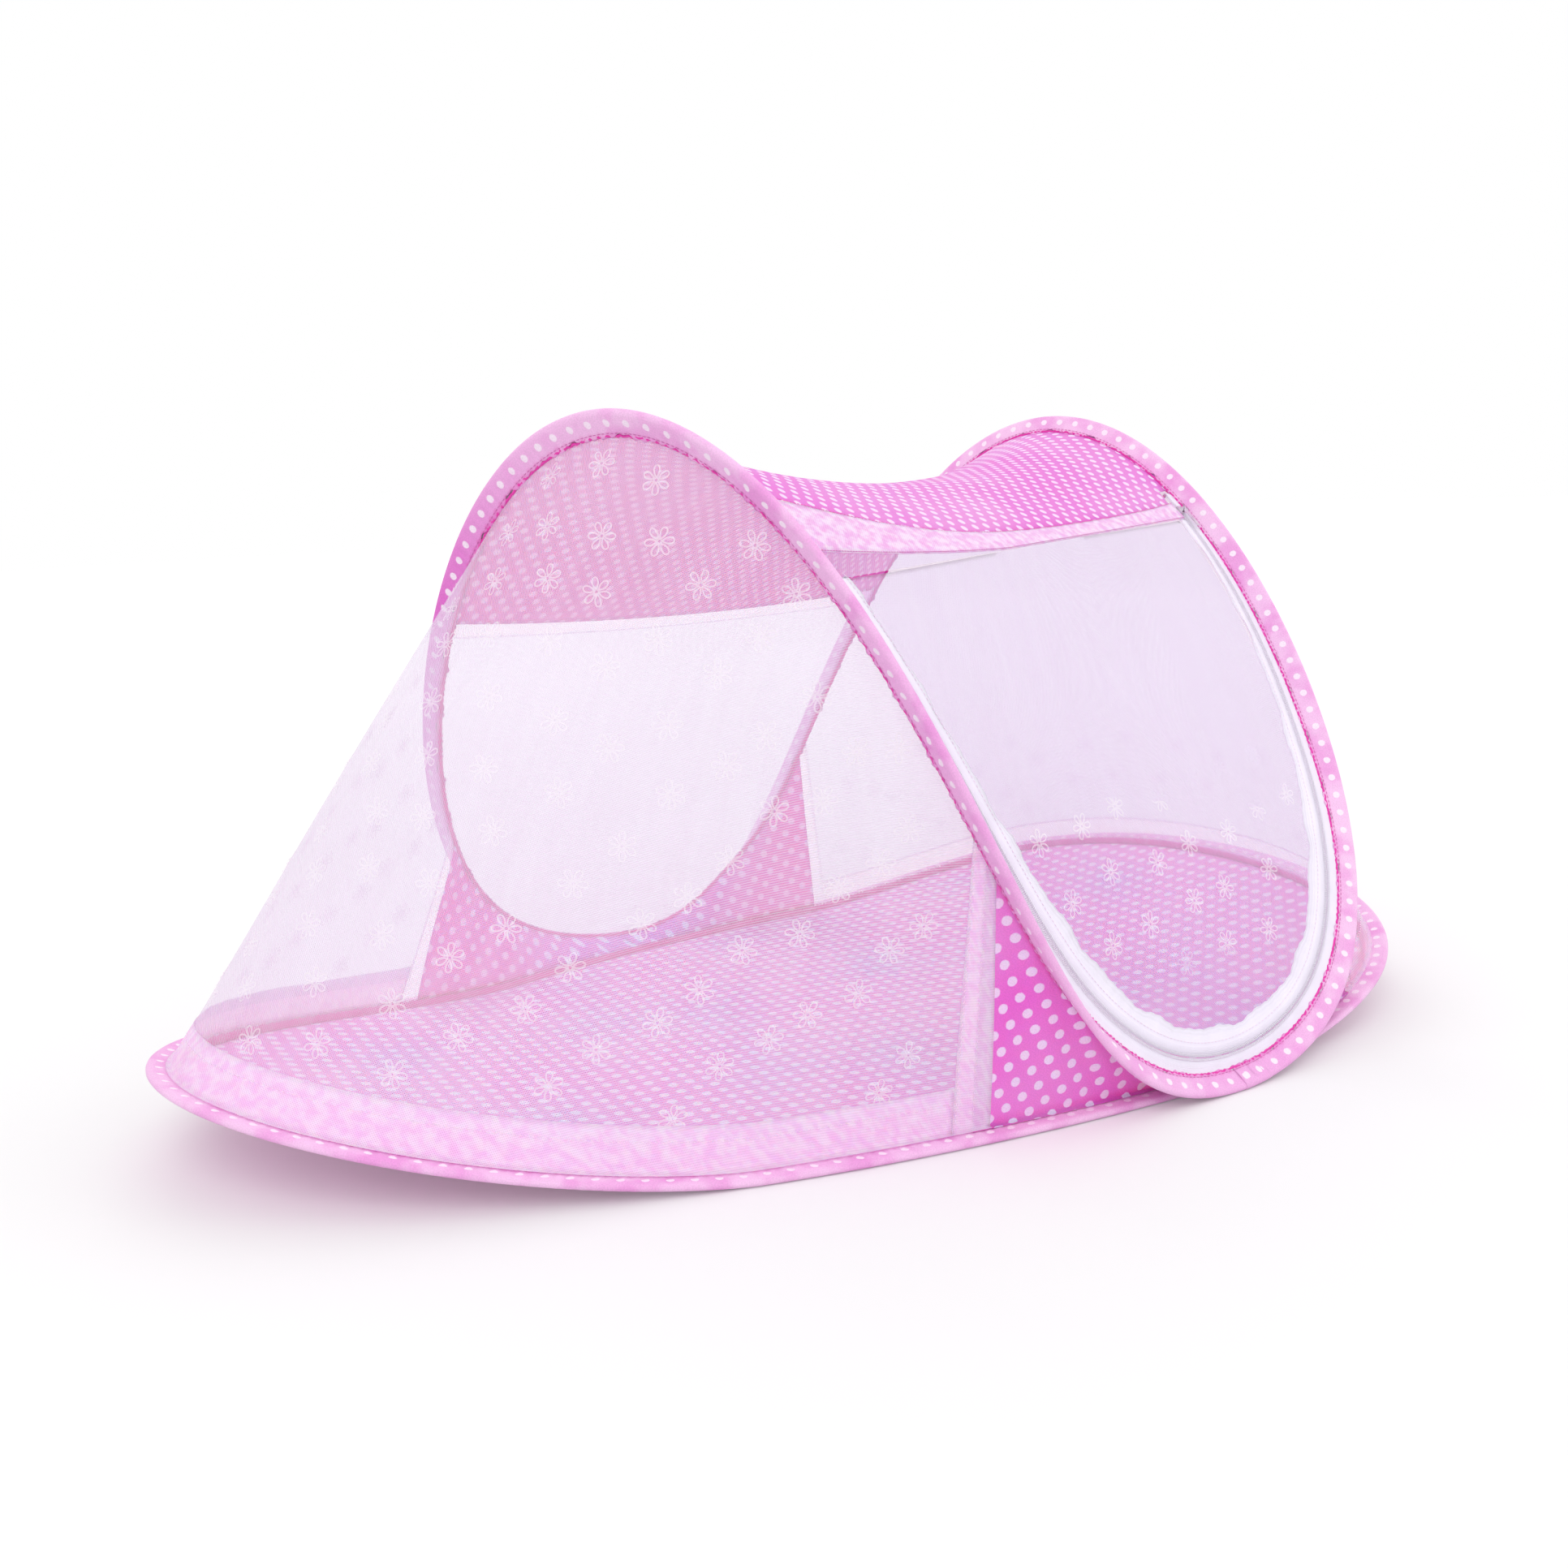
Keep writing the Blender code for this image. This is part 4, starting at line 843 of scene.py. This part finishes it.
def slope_piece(side, name, low, high, rows, columns, look, thickness=0.0, raised=0.0, top=None, bottom=0,
                seam=None):
    """Part of a slope; top and bottom are metres up from the floor's seam, and no top means the arch's seam.

    A gusset has a seam, the arch place where the net is sewn to it, and its dots lie on a plane.
    """
    degrees = np.linspace(low, high, rows)
    length = slope_length(side, degrees)
    starts = 0 * length if top is None else 1 - top / length
    shares = starts[:, None] + (1 - bottom / length - starts)[:, None] * np.linspace(0, 1, columns)
    points, near, far = slope_grid(side, degrees, shares)
    # edge is the distance from the nearest seam, where the dotted cloth gets its painted shade.
    edge = np.minimum(near, far)
    if seam:
        flat = plane_flat(points)
        edge = np.minimum(edge, np.abs(degrees[:, None] - seam) * HOOP_SPEED * 2 + 0.004)
    else:
        along = path_length(ruled_slope(side, degrees, 0.5 + 0 * degrees))[0]
        flat = np.stack([along[:, None] + 0 * shares, near], -1)
    first = arch_edge(side, degrees, -SEAM_OFFSET, TUCK) if top is None else None
    last = None if bottom else floor_edge(side, degrees / 180, TUCK)
    points, flat, edge = tucked(points, flat, edge, first, last)
    return grid_piece(name, points, flat, look, thickness, edge, raised)


def make_slopes():
    for side in ("left", "right"):
        left = side == "left"
        front, rear = GUSSETS[side]
        low, high = front + HEM_DEGREES, rear - HEM_DEGREES
        start = -0.2 if left else 0.05
        for name, first, last, rows, seam in (("front_gusset", start, front + OVERLAP, 90, front),
                                              ("rear_gusset", rear - OVERLAP, 180 - start, 74, rear)):
            obj = slope_piece(side, f"{side}_{name}_cloth", first, last, rows, 30, "gusset", CLOTH_WALL,
                              seam=seam)
            cloth(obj, "cloth", [f"{side}_{name}"])
        net = slope_piece(side, side + "_slope_mesh", low - OVERLAP, high + OVERLAP, 150, 48, "net",
                          bottom=FLOOR_HEM_WIDTH - 0.0015)
        lace = flowers_on_slope(side)
        lap, spread, soft = (HEM_LAP, LEFT_HEM_SPREAD, "hem") if left else (0, 0, "open_hem_painted_light")
        for name, first, last, rows, columns, top, look in (
                ("front_hem", front - lap, low, 7, 60, None, soft),
                ("rear_hem", high, rear, 7, 60, None, "open_hem_painted_light"),
                ("floor_hem", low, high, 150, 7, FLOOR_HEM_WIDTH + spread, soft)):
            obj = slope_piece(side, f"{side}_net_{name}_cloth", first, last, rows, columns, look, HEM_WALL,
                              HEM_RISE, top)
            cloth(obj, "hem", [f"{side}_net_{name}"])
        cloth(net, "net", [side + "_slope_net"])
        hem_stitches(side, front, rear)


def hem_stitches(side, front, rear):
    """Stitch lines along the inner edges of a net's three hems and along the gussets."""
    lines = []
    beside = np.array([-1, 0, 1])
    outer, inner = 0.15, HEM_DEGREES - 0.25
    for place in (front + outer, front + inner, rear - outer, rear - inner):
        shares = np.tile(np.linspace(0.01, 0.99, 400), (3, 1))
        grid = slope_grid(side, place + 0.05 * beside, shares)[0]
        lines.append((grid, grid_normals(grid)))
    degrees = np.linspace(front + HEM_DEGREES, rear - HEM_DEGREES, 500)
    shares = 1 - (FLOOR_HEM_WIDTH - 0.002) / slope_length(side, degrees)
    grid = slope_grid(side, degrees, shares[:, None] + 0.002 * beside)[0]
    lines.append((grid.swapaxes(0, 1), grid_normals(grid).swapaxes(0, 1)))
    rows = []
    for grid, normals in lines:
        along, total = path_length(grid[1])
        marks = np.arange(STITCH_MARGIN, total - STITCH_MARGIN, NET_STITCH_STEP)
        values = (grid[1], normals[1], unit(grid[2] - grid[0]))
        centres, up, across = (at_marks(marks, along, value) for value in values)
        up = unit(up)
        across = unit(square_to(unit(across), up))
        rows.append((centres + 0.0008 * up, unit(np.cross(across, up)), across, up))
    stitches(side + "_hem_stitches", rows, slot="hem", look="pale_stitch")


# Lace flowers

def flower_template(radius=0.0105, petals=6, width=0.0012, count=12):
    """Outlines of petals round a small ring, as flat loops of thread, and their quads."""
    t = np.linspace(0, 2 * np.pi, count, endpoint=False)[:, None]
    reach, wide = radius * (0.60 + 0.38 * np.cos(t)), radius * 0.20 * np.sin(t) * (1 + 0.3 * np.cos(t))
    angles = 2 * np.pi * np.arange(petals) / petals
    loops = [reach * (np.cos(a), np.sin(a)) + wide * (-np.sin(a), np.cos(a)) for a in angles]
    loops = np.array(loops + [0.16 * radius * np.hstack([np.cos(t), np.sin(t)])])
    ahead = np.roll(loops, -1, 1) - np.roll(loops, 1, 1)
    side = unit(np.stack([-ahead[..., 1], ahead[..., 0]], -1)) * width / 2
    points = np.stack([loops - side, loops + side], 2).reshape(-1, 2)
    starts = 2 * count * np.arange(len(loops))[:, None]
    a, b = (starts + 2 * ((np.arange(count) + step) % count) for step in (0, 1))
    points = np.column_stack([points, np.full(len(points), 0.0005)])
    return points, np.stack([a, b, b + 1, a + 1], -1).reshape(-1, 4)


def flower_mesh(name, centres, first, normals, seed, body):
    turns = np.random.default_rng(seed).uniform(0, np.pi, len(centres))[:, None]
    second = np.cross(normals, first)
    c, s = np.cos(turns), np.sin(turns)
    look = "soft_lace" if name[:5] == "right" else "lace"
    first, second = c * first + s * second, c * second - s * first
    return settle(scattered(name, *flower_template(), centres, first, second, normals, look), body, "net")


def lattice_places(low, high, seed):
    """Staggered places with a little wander, the same on every run."""
    draw = np.random.default_rng(seed)
    rows = np.arange(low[1], high[1], FLOWER_PITCH * 0.87)
    places = [(x + (FLOWER_PITCH / 2 if k % 2 else 0), y) for k, y in enumerate(rows)
              for x in np.arange(low[0], high[0], FLOWER_PITCH)]
    return np.array(places) + draw.uniform(-0.006, 0.006, (len(places), 2))


def flowers_on_slope(side):
    """Lace on one net, clear of its hems; on the right net only low down, where it shows on pink."""
    degrees = np.linspace(*GUSSETS[side], 400)
    length = slope_length(side, degrees)
    along, total = path_length(ruled_slope(side, degrees, 0.5 + 0 * degrees))
    x, y = lattice_places((0.0, 0.02), (total, length.max()), 11 if side == "left" else 12).T
    place, own = np.interp(x, along, degrees), np.interp(x, along, length)
    ends, top, bottom, right_reach = 0.035, 0.018, FLOOR_HEM_WIDTH + 0.014, 0.15
    keep = (x > ends) & (x < total - ends) & (y > top) & (y < own - bottom)
    keep &= (side == "left") | (y > own - right_reach)
    centres, ups, ways = [], [], []
    beside = np.array([-1, 0, 1])
    for d, v in zip(place[keep], (y / own)[keep]):
        grid = slope_grid(side, d + 0.4 * beside, np.tile(v + 0.01 * beside, (3, 1)))[0]
        centres.append(grid[1, 1])
        ups.append(grid_normals(grid)[1, 1])
        ways.append(grid[2, 1] - grid[0, 1])
    centres, ups, ways = np.array(centres), np.array(ups), np.array(ways)
    return flower_mesh(side + "_slope_lace", centres, unit(square_to(ways, ups)), ups, 5, "tent")


# Middle skin: roof, rear window, zip, door

def middle_piece(name, degrees, shares, look, thickness=0.0, raised=0.0, tuck=True, ahead=None):
    """A piece that runs from arch to arch; degrees may bow from column to column, ahead limits the edge."""
    degrees, shares = np.broadcast_arrays(degrees, shares)
    points = middle_skin(degrees, shares)
    length = ruling_length(degrees)
    near, far = shares * length, (1 - shares) * length
    points = points + 0.6 * ripple(degrees, near, far, length, 1.0)[..., None] * grid_normals(points)
    # edge is the distance from the nearest seam, where the dotted cloth gets its painted shade.
    flat, edge = to_flat(degrees, shares), np.minimum(near, far)
    if ahead is not None:
        edge = np.minimum(edge, ahead)
    if tuck:
        first = arch_edge("left", degrees[:, 0], SEAM_OFFSET, TUCK)
        last = arch_edge("right", degrees[:, -1], SEAM_OFFSET, TUCK)
        points, flat, edge = tucked(points, flat, edge, first, last)
    return grid_piece(name, points, flat, look, thickness, edge, raised)


def roof_front(share):
    """Where the dotted cloth gives way to its hem: a bow that rises towards the left arch."""
    return 70.6 + 6.2 * np.exp(-(np.abs(share) / 0.25) ** 1.7) + 0.5 * np.abs(share) ** 8


def roof_lip(share):
    """The front hem's own lower edge, which rises towards the left arch too."""
    return ROOF_START + 2.4 * np.clip(1 - share / 0.42, 0, 1) ** 1.3


def make_roof():
    notch = (ZIP_TAPE_WIDTH + GAP + ZIP_TEETH_WIDTH + SLIDER_SIDE) / ruling_length(DOOR_HINGE)
    corner = notch + 0.005 + np.linspace(-0.005, 0.005, 7)
    shares = np.unique(np.concatenate([np.linspace(0, 1, 61), corner, 1 - corner]))
    parked = np.clip((np.abs(shares - 0.5) - (0.49 - notch)) / 0.009, 0, 1)
    low = blend(smooth_step(parked), roof_front(shares) - LAP, PARKING_END + 0.4)
    grid = blend(np.linspace(0, 1, 70)[:, None], low, ROOF_REAR + LAP)
    ahead = np.maximum((grid - roof_front(shares)) * HOOP_SPEED + 0.002, 0)
    roof = middle_piece("roof_cloth", grid, shares, "roof", CLOTH_WALL, ahead=ahead)
    cloth(roof, "cloth", ["roof_panel"])

    inner = np.linspace(notch, 1 - notch, 121)
    scallop = 0.055 * np.sin(2 * np.pi * inner * 33) + 0.03 * np.sin(2 * np.pi * inner * 13)
    low, high = roof_lip(inner), roof_front(inner) + 0.12 + scallop
    down = np.linspace(0, 1, 8)[:, None]
    strip_end = np.minimum(high - 0.3, low + 0.5)
    strip = middle_piece("roof_front_net", blend(down, ROOF_START, strip_end), inner, "door_net",
                         raised=0.0002, tuck=False)
    cloth(strip, "net", [])
    hem = middle_piece("roof_front_hem_cloth", blend(down, low, high), inner, "roof_hem", CLOTH_WALL,
                       ROOF_HEM_RISE, False)
    cloth(hem, "hem", ["roof_front_hem"])

    rear = ruling_at(to_flat(ROOF_REAR, 0.5)[1] + ROOF_REAR_HEM_WIDTH)
    hem = middle_piece("roof_rear_hem_cloth", np.linspace(ROOF_REAR - LAP, rear + LAP, 7)[:, None], shares,
                       "open_hem_painted_light", CLOTH_WALL, ROOF_HEM_RISE)
    cloth(hem, "hem", ["roof_rear_hem"])
    places = np.linspace(rear - LAP, REAR_WINDOW_END, 150)[:, None]
    window = middle_piece("window_mesh", places, shares, "net")
    cloth(window, "net", ["rear_window_net"])

    seam = np.linspace(notch, 1 - notch, 900)
    for name, edge, step, look in (("front", roof_front, 0.0036, "seam"),
                                   ("lip", roof_lip, 0.0031, "stitch")):
        line, out = middle_surface(edge(seam) + LAP, seam)
        across = np.cross(out, heading(line))
        stitch_line(f"roof_{name}_stitches", line, across, out, 0.0, (0.0012,), step, look)


def zip_line(top, distance, count=620):
    """One line of the zip in flat metres, so far in from the seams, down round the front foot and up."""
    fine = np.linspace(ZIP_FOOT, top, count // 2)
    mouth = np.concatenate([to_flat(fine[::-1], 0.0), to_flat(fine, 1.0)])
    along = heading(mouth)
    inward = np.stack([-along[:, 1], along[:, 0]], -1)
    inward[0] = (1 / inward[0, 0], 0)
    inward[-1] = (1 / inward[-1, 0], 0)
    return mouth + distance * inward


def zip_surface(flat, raised=0.0):
    return middle_surface(*from_flat(flat), raised)


def zip_tape(name, top, distances, body, node):
    """One side of the zip: the tent's runs into the sleeves, the door's has a frilled inner edge."""
    lines = np.stack([zip_line(top, d) for d in distances], 1)
    s, total = path_length(lines[:, 0])
    if body == "door":
        spread = BAND_SPREAD * np.clip((np.minimum(s, total - s) - 0.10) / 0.22, 0, 1) ** 1.5
        for height, length in FRILL_WAVES:
            spread = spread + height * np.sin(2 * np.pi * s / length)
        lines[:, -1] += spread[:, None] * unit(lines[:, -1] - lines[:, 0])
    points, _ = zip_surface(lines)
    flat = np.stack(np.broadcast_arrays(s[:, None], distances), -1)
    if body == "tent":
        fine = np.linspace(ZIP_FOOT, top, len(lines) // 2)
        edge = np.concatenate([arch_edge("left", fine[::-1], SEAM_OFFSET, TUCK),
                               arch_edge("right", fine, SEAM_OFFSET, TUCK)])
        points = np.concatenate([edge[:, None], points], 1)
        flat = np.concatenate([flat[:, :1] - (0, TUCK), flat], 1)
    obj = grid_piece(name, points, flat, "zip", ZIP_WALL, None, 0.0002)
    cloth(obj, "zip", [node], body=body)


def coil(name, top, distance, body, node, hand):
    """A nylon coil sewn along the tape's edge: one helix, flattened, with its turns a pitch apart."""
    pitch, points_a_turn, wide, high, wire = 0.0017, 8, 0.00098, 0.00085, 0.00034
    line = zip_line(top, distance, 1400)
    along, total = path_length(line)
    count = int(total / pitch) * points_a_turn
    marks = np.linspace(0, total, count)
    points, normals = zip_surface(at_marks(marks, along, line))
    side = hand * np.cross(heading(points), normals)
    turn = 2 * np.pi * np.arange(count)[:, None] / points_a_turn
    helix = points + wide * np.cos(turn) * side + (high * np.sin(turn) + 0.0007) * normals
    forward = heading(helix)
    out = unit(square_to(helix - points, forward))
    corners = np.pi * np.array([0.25, 0.75, 1.25, 1.75])
    rings = carried(helix, out, np.cross(forward, out), wire * np.cos(corners), wire * np.sin(corners))
    obj = sweep_piece(name, rings, marks, np.arange(4) * wire, False, "teeth")
    settle(obj, body, "teeth", node)


def four_sided(left, bottom, right):
    """A grid that fills the outline of two sides, a bottom and a straight top."""
    a = np.linspace(0, 1, len(bottom))[None, :, None]
    d = np.linspace(0, 1, len(left))[:, None, None]
    top = blend(a, left[0], right[0])
    return (blend(a, left[:, None], right[:, None]) + blend(d, top, bottom[None])
            - blend(d, top, blend(a, left[-1], right[-1])))


def inside_ring(points, ring):
    """True for the points inside a closed outline."""
    a, b = ring, np.roll(ring, -1, 0)
    x, y = points[:, :1], points[:, 1:]
    crosses = (a[:, 1] > y) != (b[:, 1] > y)
    rise = b[:, 1] - a[:, 1]
    at = a[:, 0] + (y - a[:, 1]) / np.where(rise == 0, 1e-12, rise) * (b[:, 0] - a[:, 0])
    return (crosses & (x < at)).sum(1) % 2 == 1


def distance_to(places, outline):
    return np.linalg.norm(places[..., None, :] - outline, axis=-1).min(-1)


def make_door():
    tape, teeth = ZIP_TAPE_WIDTH, ZIP_TEETH_WIDTH
    teeth_end = PARKING_END - (STOP_LENGTH + 2 * GAP) / hoop_step(69.5, 70.5)
    zip_tape("outer_zip_band", PARKING_END, [0.0, tape / 2, tape + GAP + teeth - 0.0003], "tent",
             "outer_zip_tape")
    coil("outer_zip_coil", teeth_end, tape + GAP + teeth / 2, "tent", "outer_zip_teeth", 1)
    line = tape + 2 * GAP + teeth
    coil("inner_zip_coil", DOOR_TOP, line + GAP + teeth / 2, "door", "inner_zip_teeth", -1)
    line += GAP + teeth
    inside = zip_line(DOOR_TOP, line + 2 * GAP + tape - DOOR_LAP)
    third = int(len(inside) * 0.36)
    sides = inside[:third + 1], inside[third:len(inside) - third], inside[::-1][:third + 1]
    grid = four_sided(*sides)[::2, ::2]
    points, normals = zip_surface(grid)
    sway = 0.0016 * np.sin(31 * grid[..., 1] + 9 * grid[..., 0])
    sway = sway * np.clip((distance_to(grid, inside[::6]) - 0.012) / 0.05, 0, 1)
    door = grid_piece("door_mesh", points + sway[..., None] * normals, grid, "door_net")

    spots = lattice_places((-0.3, 0.0), (0.3, 0.55 * HINGE_LINE), 31)
    keep = (distance_to(spots, inside[::4]) > 0.024) & (HINGE_LINE - spots[:, 1] > 0.02)
    places, shares = from_flat(spots[keep & inside_ring(spots, inside)])
    centres, out = middle_surface(places, shares)
    way = unit(square_to(middle_skin(places, shares + 0.002) - centres, out))
    lace = flower_mesh("door_lace", centres, way, out, 9, "door")

    zip_tape("inner_zip_band", DOOR_TOP, line + GAP + np.array([-teeth - 2 * GAP, tape / 2, tape]), "door",
             "inner_zip_tape")
    cloth(door, "net", ["door_net"], body="door")
    seam = zip_line(DOOR_TOP, line + GAP + tape - 0.0016, 1200)
    along, total = path_length(seam)
    marks = np.arange(STITCH_MARGIN, total - STITCH_MARGIN, DOOR_STITCH_STEP)
    points, normals = zip_surface(at_marks(marks, along, seam), 0.0007)
    rows = [(points, heading(points), np.cross(normals, heading(points)), normals)]
    stitches("door_stitches", rows, "door", "zip", "pale_stitch", (0.0026, 0.0005, 0.0004))


# Floor

def make_mat():
    """The floor cloth: finely ringed, following the floor's curl, with soft slack folds."""
    places = even_places(floor_ring, 0, 360, 0.008, True)
    rim = floor_ring(places) + (TAPE_DEPTH - 0.0010) * floor_frame(places)[0]
    middle = np.array([FLOOR_EGG_SHIFT, 0])
    rings = np.linspace(1.0, 0.0, 48)[:-1, None]
    flat = middle + rings[..., None] * (rim[:, :2] - middle)
    x, y = flat[..., 0], flat[..., 1]
    fold = 0.0007 * np.sin(23 * x + 9 * y) + 0.0006 * np.sin(41 * x - 17 * y + 1)
    fold = fold + 0.0005 * np.sin(33 * y + 2)
    gather = 0.0005 * np.sin(np.arange(len(places)) * 2.1) * np.exp(-(1 - rings) * 12)
    rise = (fold + gather) * np.clip((1 - rings) * 9, 0, 1)
    count, span = len(places), rings.size * len(places) + 1
    k = np.arange(count)
    near = (k + 1) % count
    start = count * np.arange(rings.size - 1)[:, None]
    quads = np.stack([start + k, start + near, start + count + near, start + count + k], -1).reshape(-1, 4)
    fan = np.stack([span - 1 - count + k, span - 1 - count + near, 0 * k + span - 1], -1)
    levels, faces = [], []
    for height, upper in ((0.0009, 0), (MAT_THICKNESS - 0.0006, 1)):
        slim = np.where(rings > 0.985, 0.0012, 0)
        z = lift(x) + height + upper * (rise + 0.0006 - slim)
        levels.append(np.concatenate([np.stack([x, y, z], -1).reshape(-1, 3),
                                      [[*middle, lift(middle[0]) + height + upper * 0.0006]]]))
        for part in (quads, fan):
            faces += (part + span if upper else part[:, ::-1]).tolist()
    faces += np.stack([k, near, span + near, span + k], -1).tolist()
    points = np.concatenate(levels)
    # The mat's outer rim gets painted shade where it runs into the floor sleeve.
    edge = np.append((1 - rings) * 0.3 + 0 * x, 0.3)
    obj = mesh_piece("floor_cloth", points, faces, "mat", points[np.concatenate(faces), :2], np.tile(edge, 2))
    cloth(obj, "mat", ["floor_mat"], (0.60, 1.04))


# Carried nodes

def dress_nodes():
    for look, names in (("steel", ("floor_wire", "floor_ferrule", "hoop_wire", "hoop_ferrule")),
                        ("metal", ("left_zip_stop", "right_zip_stop", "zip_slider", "zip_pull"))):
        for name in names:
            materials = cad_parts[name].data.materials
            materials.clear()
            materials.append(MATERIALS[look])


# Studio and camera

def make_world():
    world = bpy.data.worlds.new("studio")
    bpy.context.scene.world = world
    world.use_nodes = True
    n = Nodes(world.node_tree)
    n.tree.nodes.clear()
    light, seen = (n.node("Background", (1, 1, 1, 1), strength).outputs[0] for strength in (0.92, 1.0))
    n.node("OutputWorld", n.node("MixShader", n.rays(), light, seen).outputs[0])


def make_studio():
    size, drop = 14.0, -0.0006
    corners = [(x * size, y * size, drop) for x, y in ((-1, -1), (1, -1), (1, 1), (-1, 1))]
    floor = mesh_piece("studio_floor", corners, [(0, 1, 2, 3)])
    made = bpy.data.materials.new("studio_floor")
    made.use_nodes = True
    n = Nodes(made.node_tree)
    n.tree.nodes.clear()
    away = n.node("VectorMath", n.place(), operation="LENGTH").outputs["Value"]
    glow = n.node("Emission", None, n.times(n.rays(), n.ramp(away, 1.0, 4.5, 0.10, 0.34, False))).outputs[0]
    diffuse = n.node("BsdfDiffuse", (0.80, 0.80, 0.80, 1)).outputs[0]
    n.node("OutputMaterial", n.node("AddShader", diffuse, glow).outputs[0])
    floor.data.materials.append(made)
    aim = Vector((0.05, 0, 0.2))
    lights = (("key", (-1.6, -2.4, 3.0), 34, 2.2), ("fill", (2.8, -1.4, 2.0), 16, 2.4),
              ("back", (0.4, 2.8, 2.6), 18, 2.4))
    for name, place, power, width in lights:
        data = bpy.data.lights.new(name, "AREA")
        data.energy, data.size = power, width
        obj = bpy.data.objects.new(name, data)
        obj.location = place
        obj.rotation_mode = "QUATERNION"
        obj.rotation_quaternion = (Vector(place) - aim).to_track_quat("Z", "Y")
        bpy.context.scene.collection.objects.link(obj)


def make_camera():
    """The photograph's camera, fitted to both wires' outlines."""
    azimuth, elevation, roll = np.radians([-29.10531, 15.53439, -2.4558])
    focal, shift_x, shift_y, side = np.exp(7.53672), 9.56819, 149.24114, 1932
    level = np.cos(elevation)
    back = np.array([np.sin(azimuth) * level, -np.cos(azimuth) * level, np.sin(elevation)])
    right = unit(np.cross(-back, [0, 0, 1.0]))
    up = np.cross(right, -back)
    data = bpy.data.cameras.new("photo_camera")
    data.sensor_fit, data.sensor_width = "AUTO", 36
    data.lens = 36 * focal / side
    data.shift_x, data.shift_y = -shift_x / side, shift_y / side
    data.clip_start, data.clip_end = 0.05, 50
    camera = bpy.data.objects.new("photo_camera", data)
    matrix = np.eye(4)
    matrix[:3, 0] = right * np.cos(roll) + up * np.sin(roll)
    matrix[:3, 1] = up * np.cos(roll) - right * np.sin(roll)
    matrix[:3, 2] = back
    matrix[:3, 3] = (-0.63302, -1.12505, 0.46842)
    camera.matrix_world = Matrix(matrix.tolist())
    bpy.context.scene.collection.objects.link(camera)
    bpy.context.scene.camera = camera


make_camera()
make_world()
make_studio()
make_sleeves()
make_slopes()
make_roof()
make_door()
make_mat()
dress_nodes()
bpy.context.scene.view_settings.view_transform = "Standard"
bpy.context.view_layer.update()
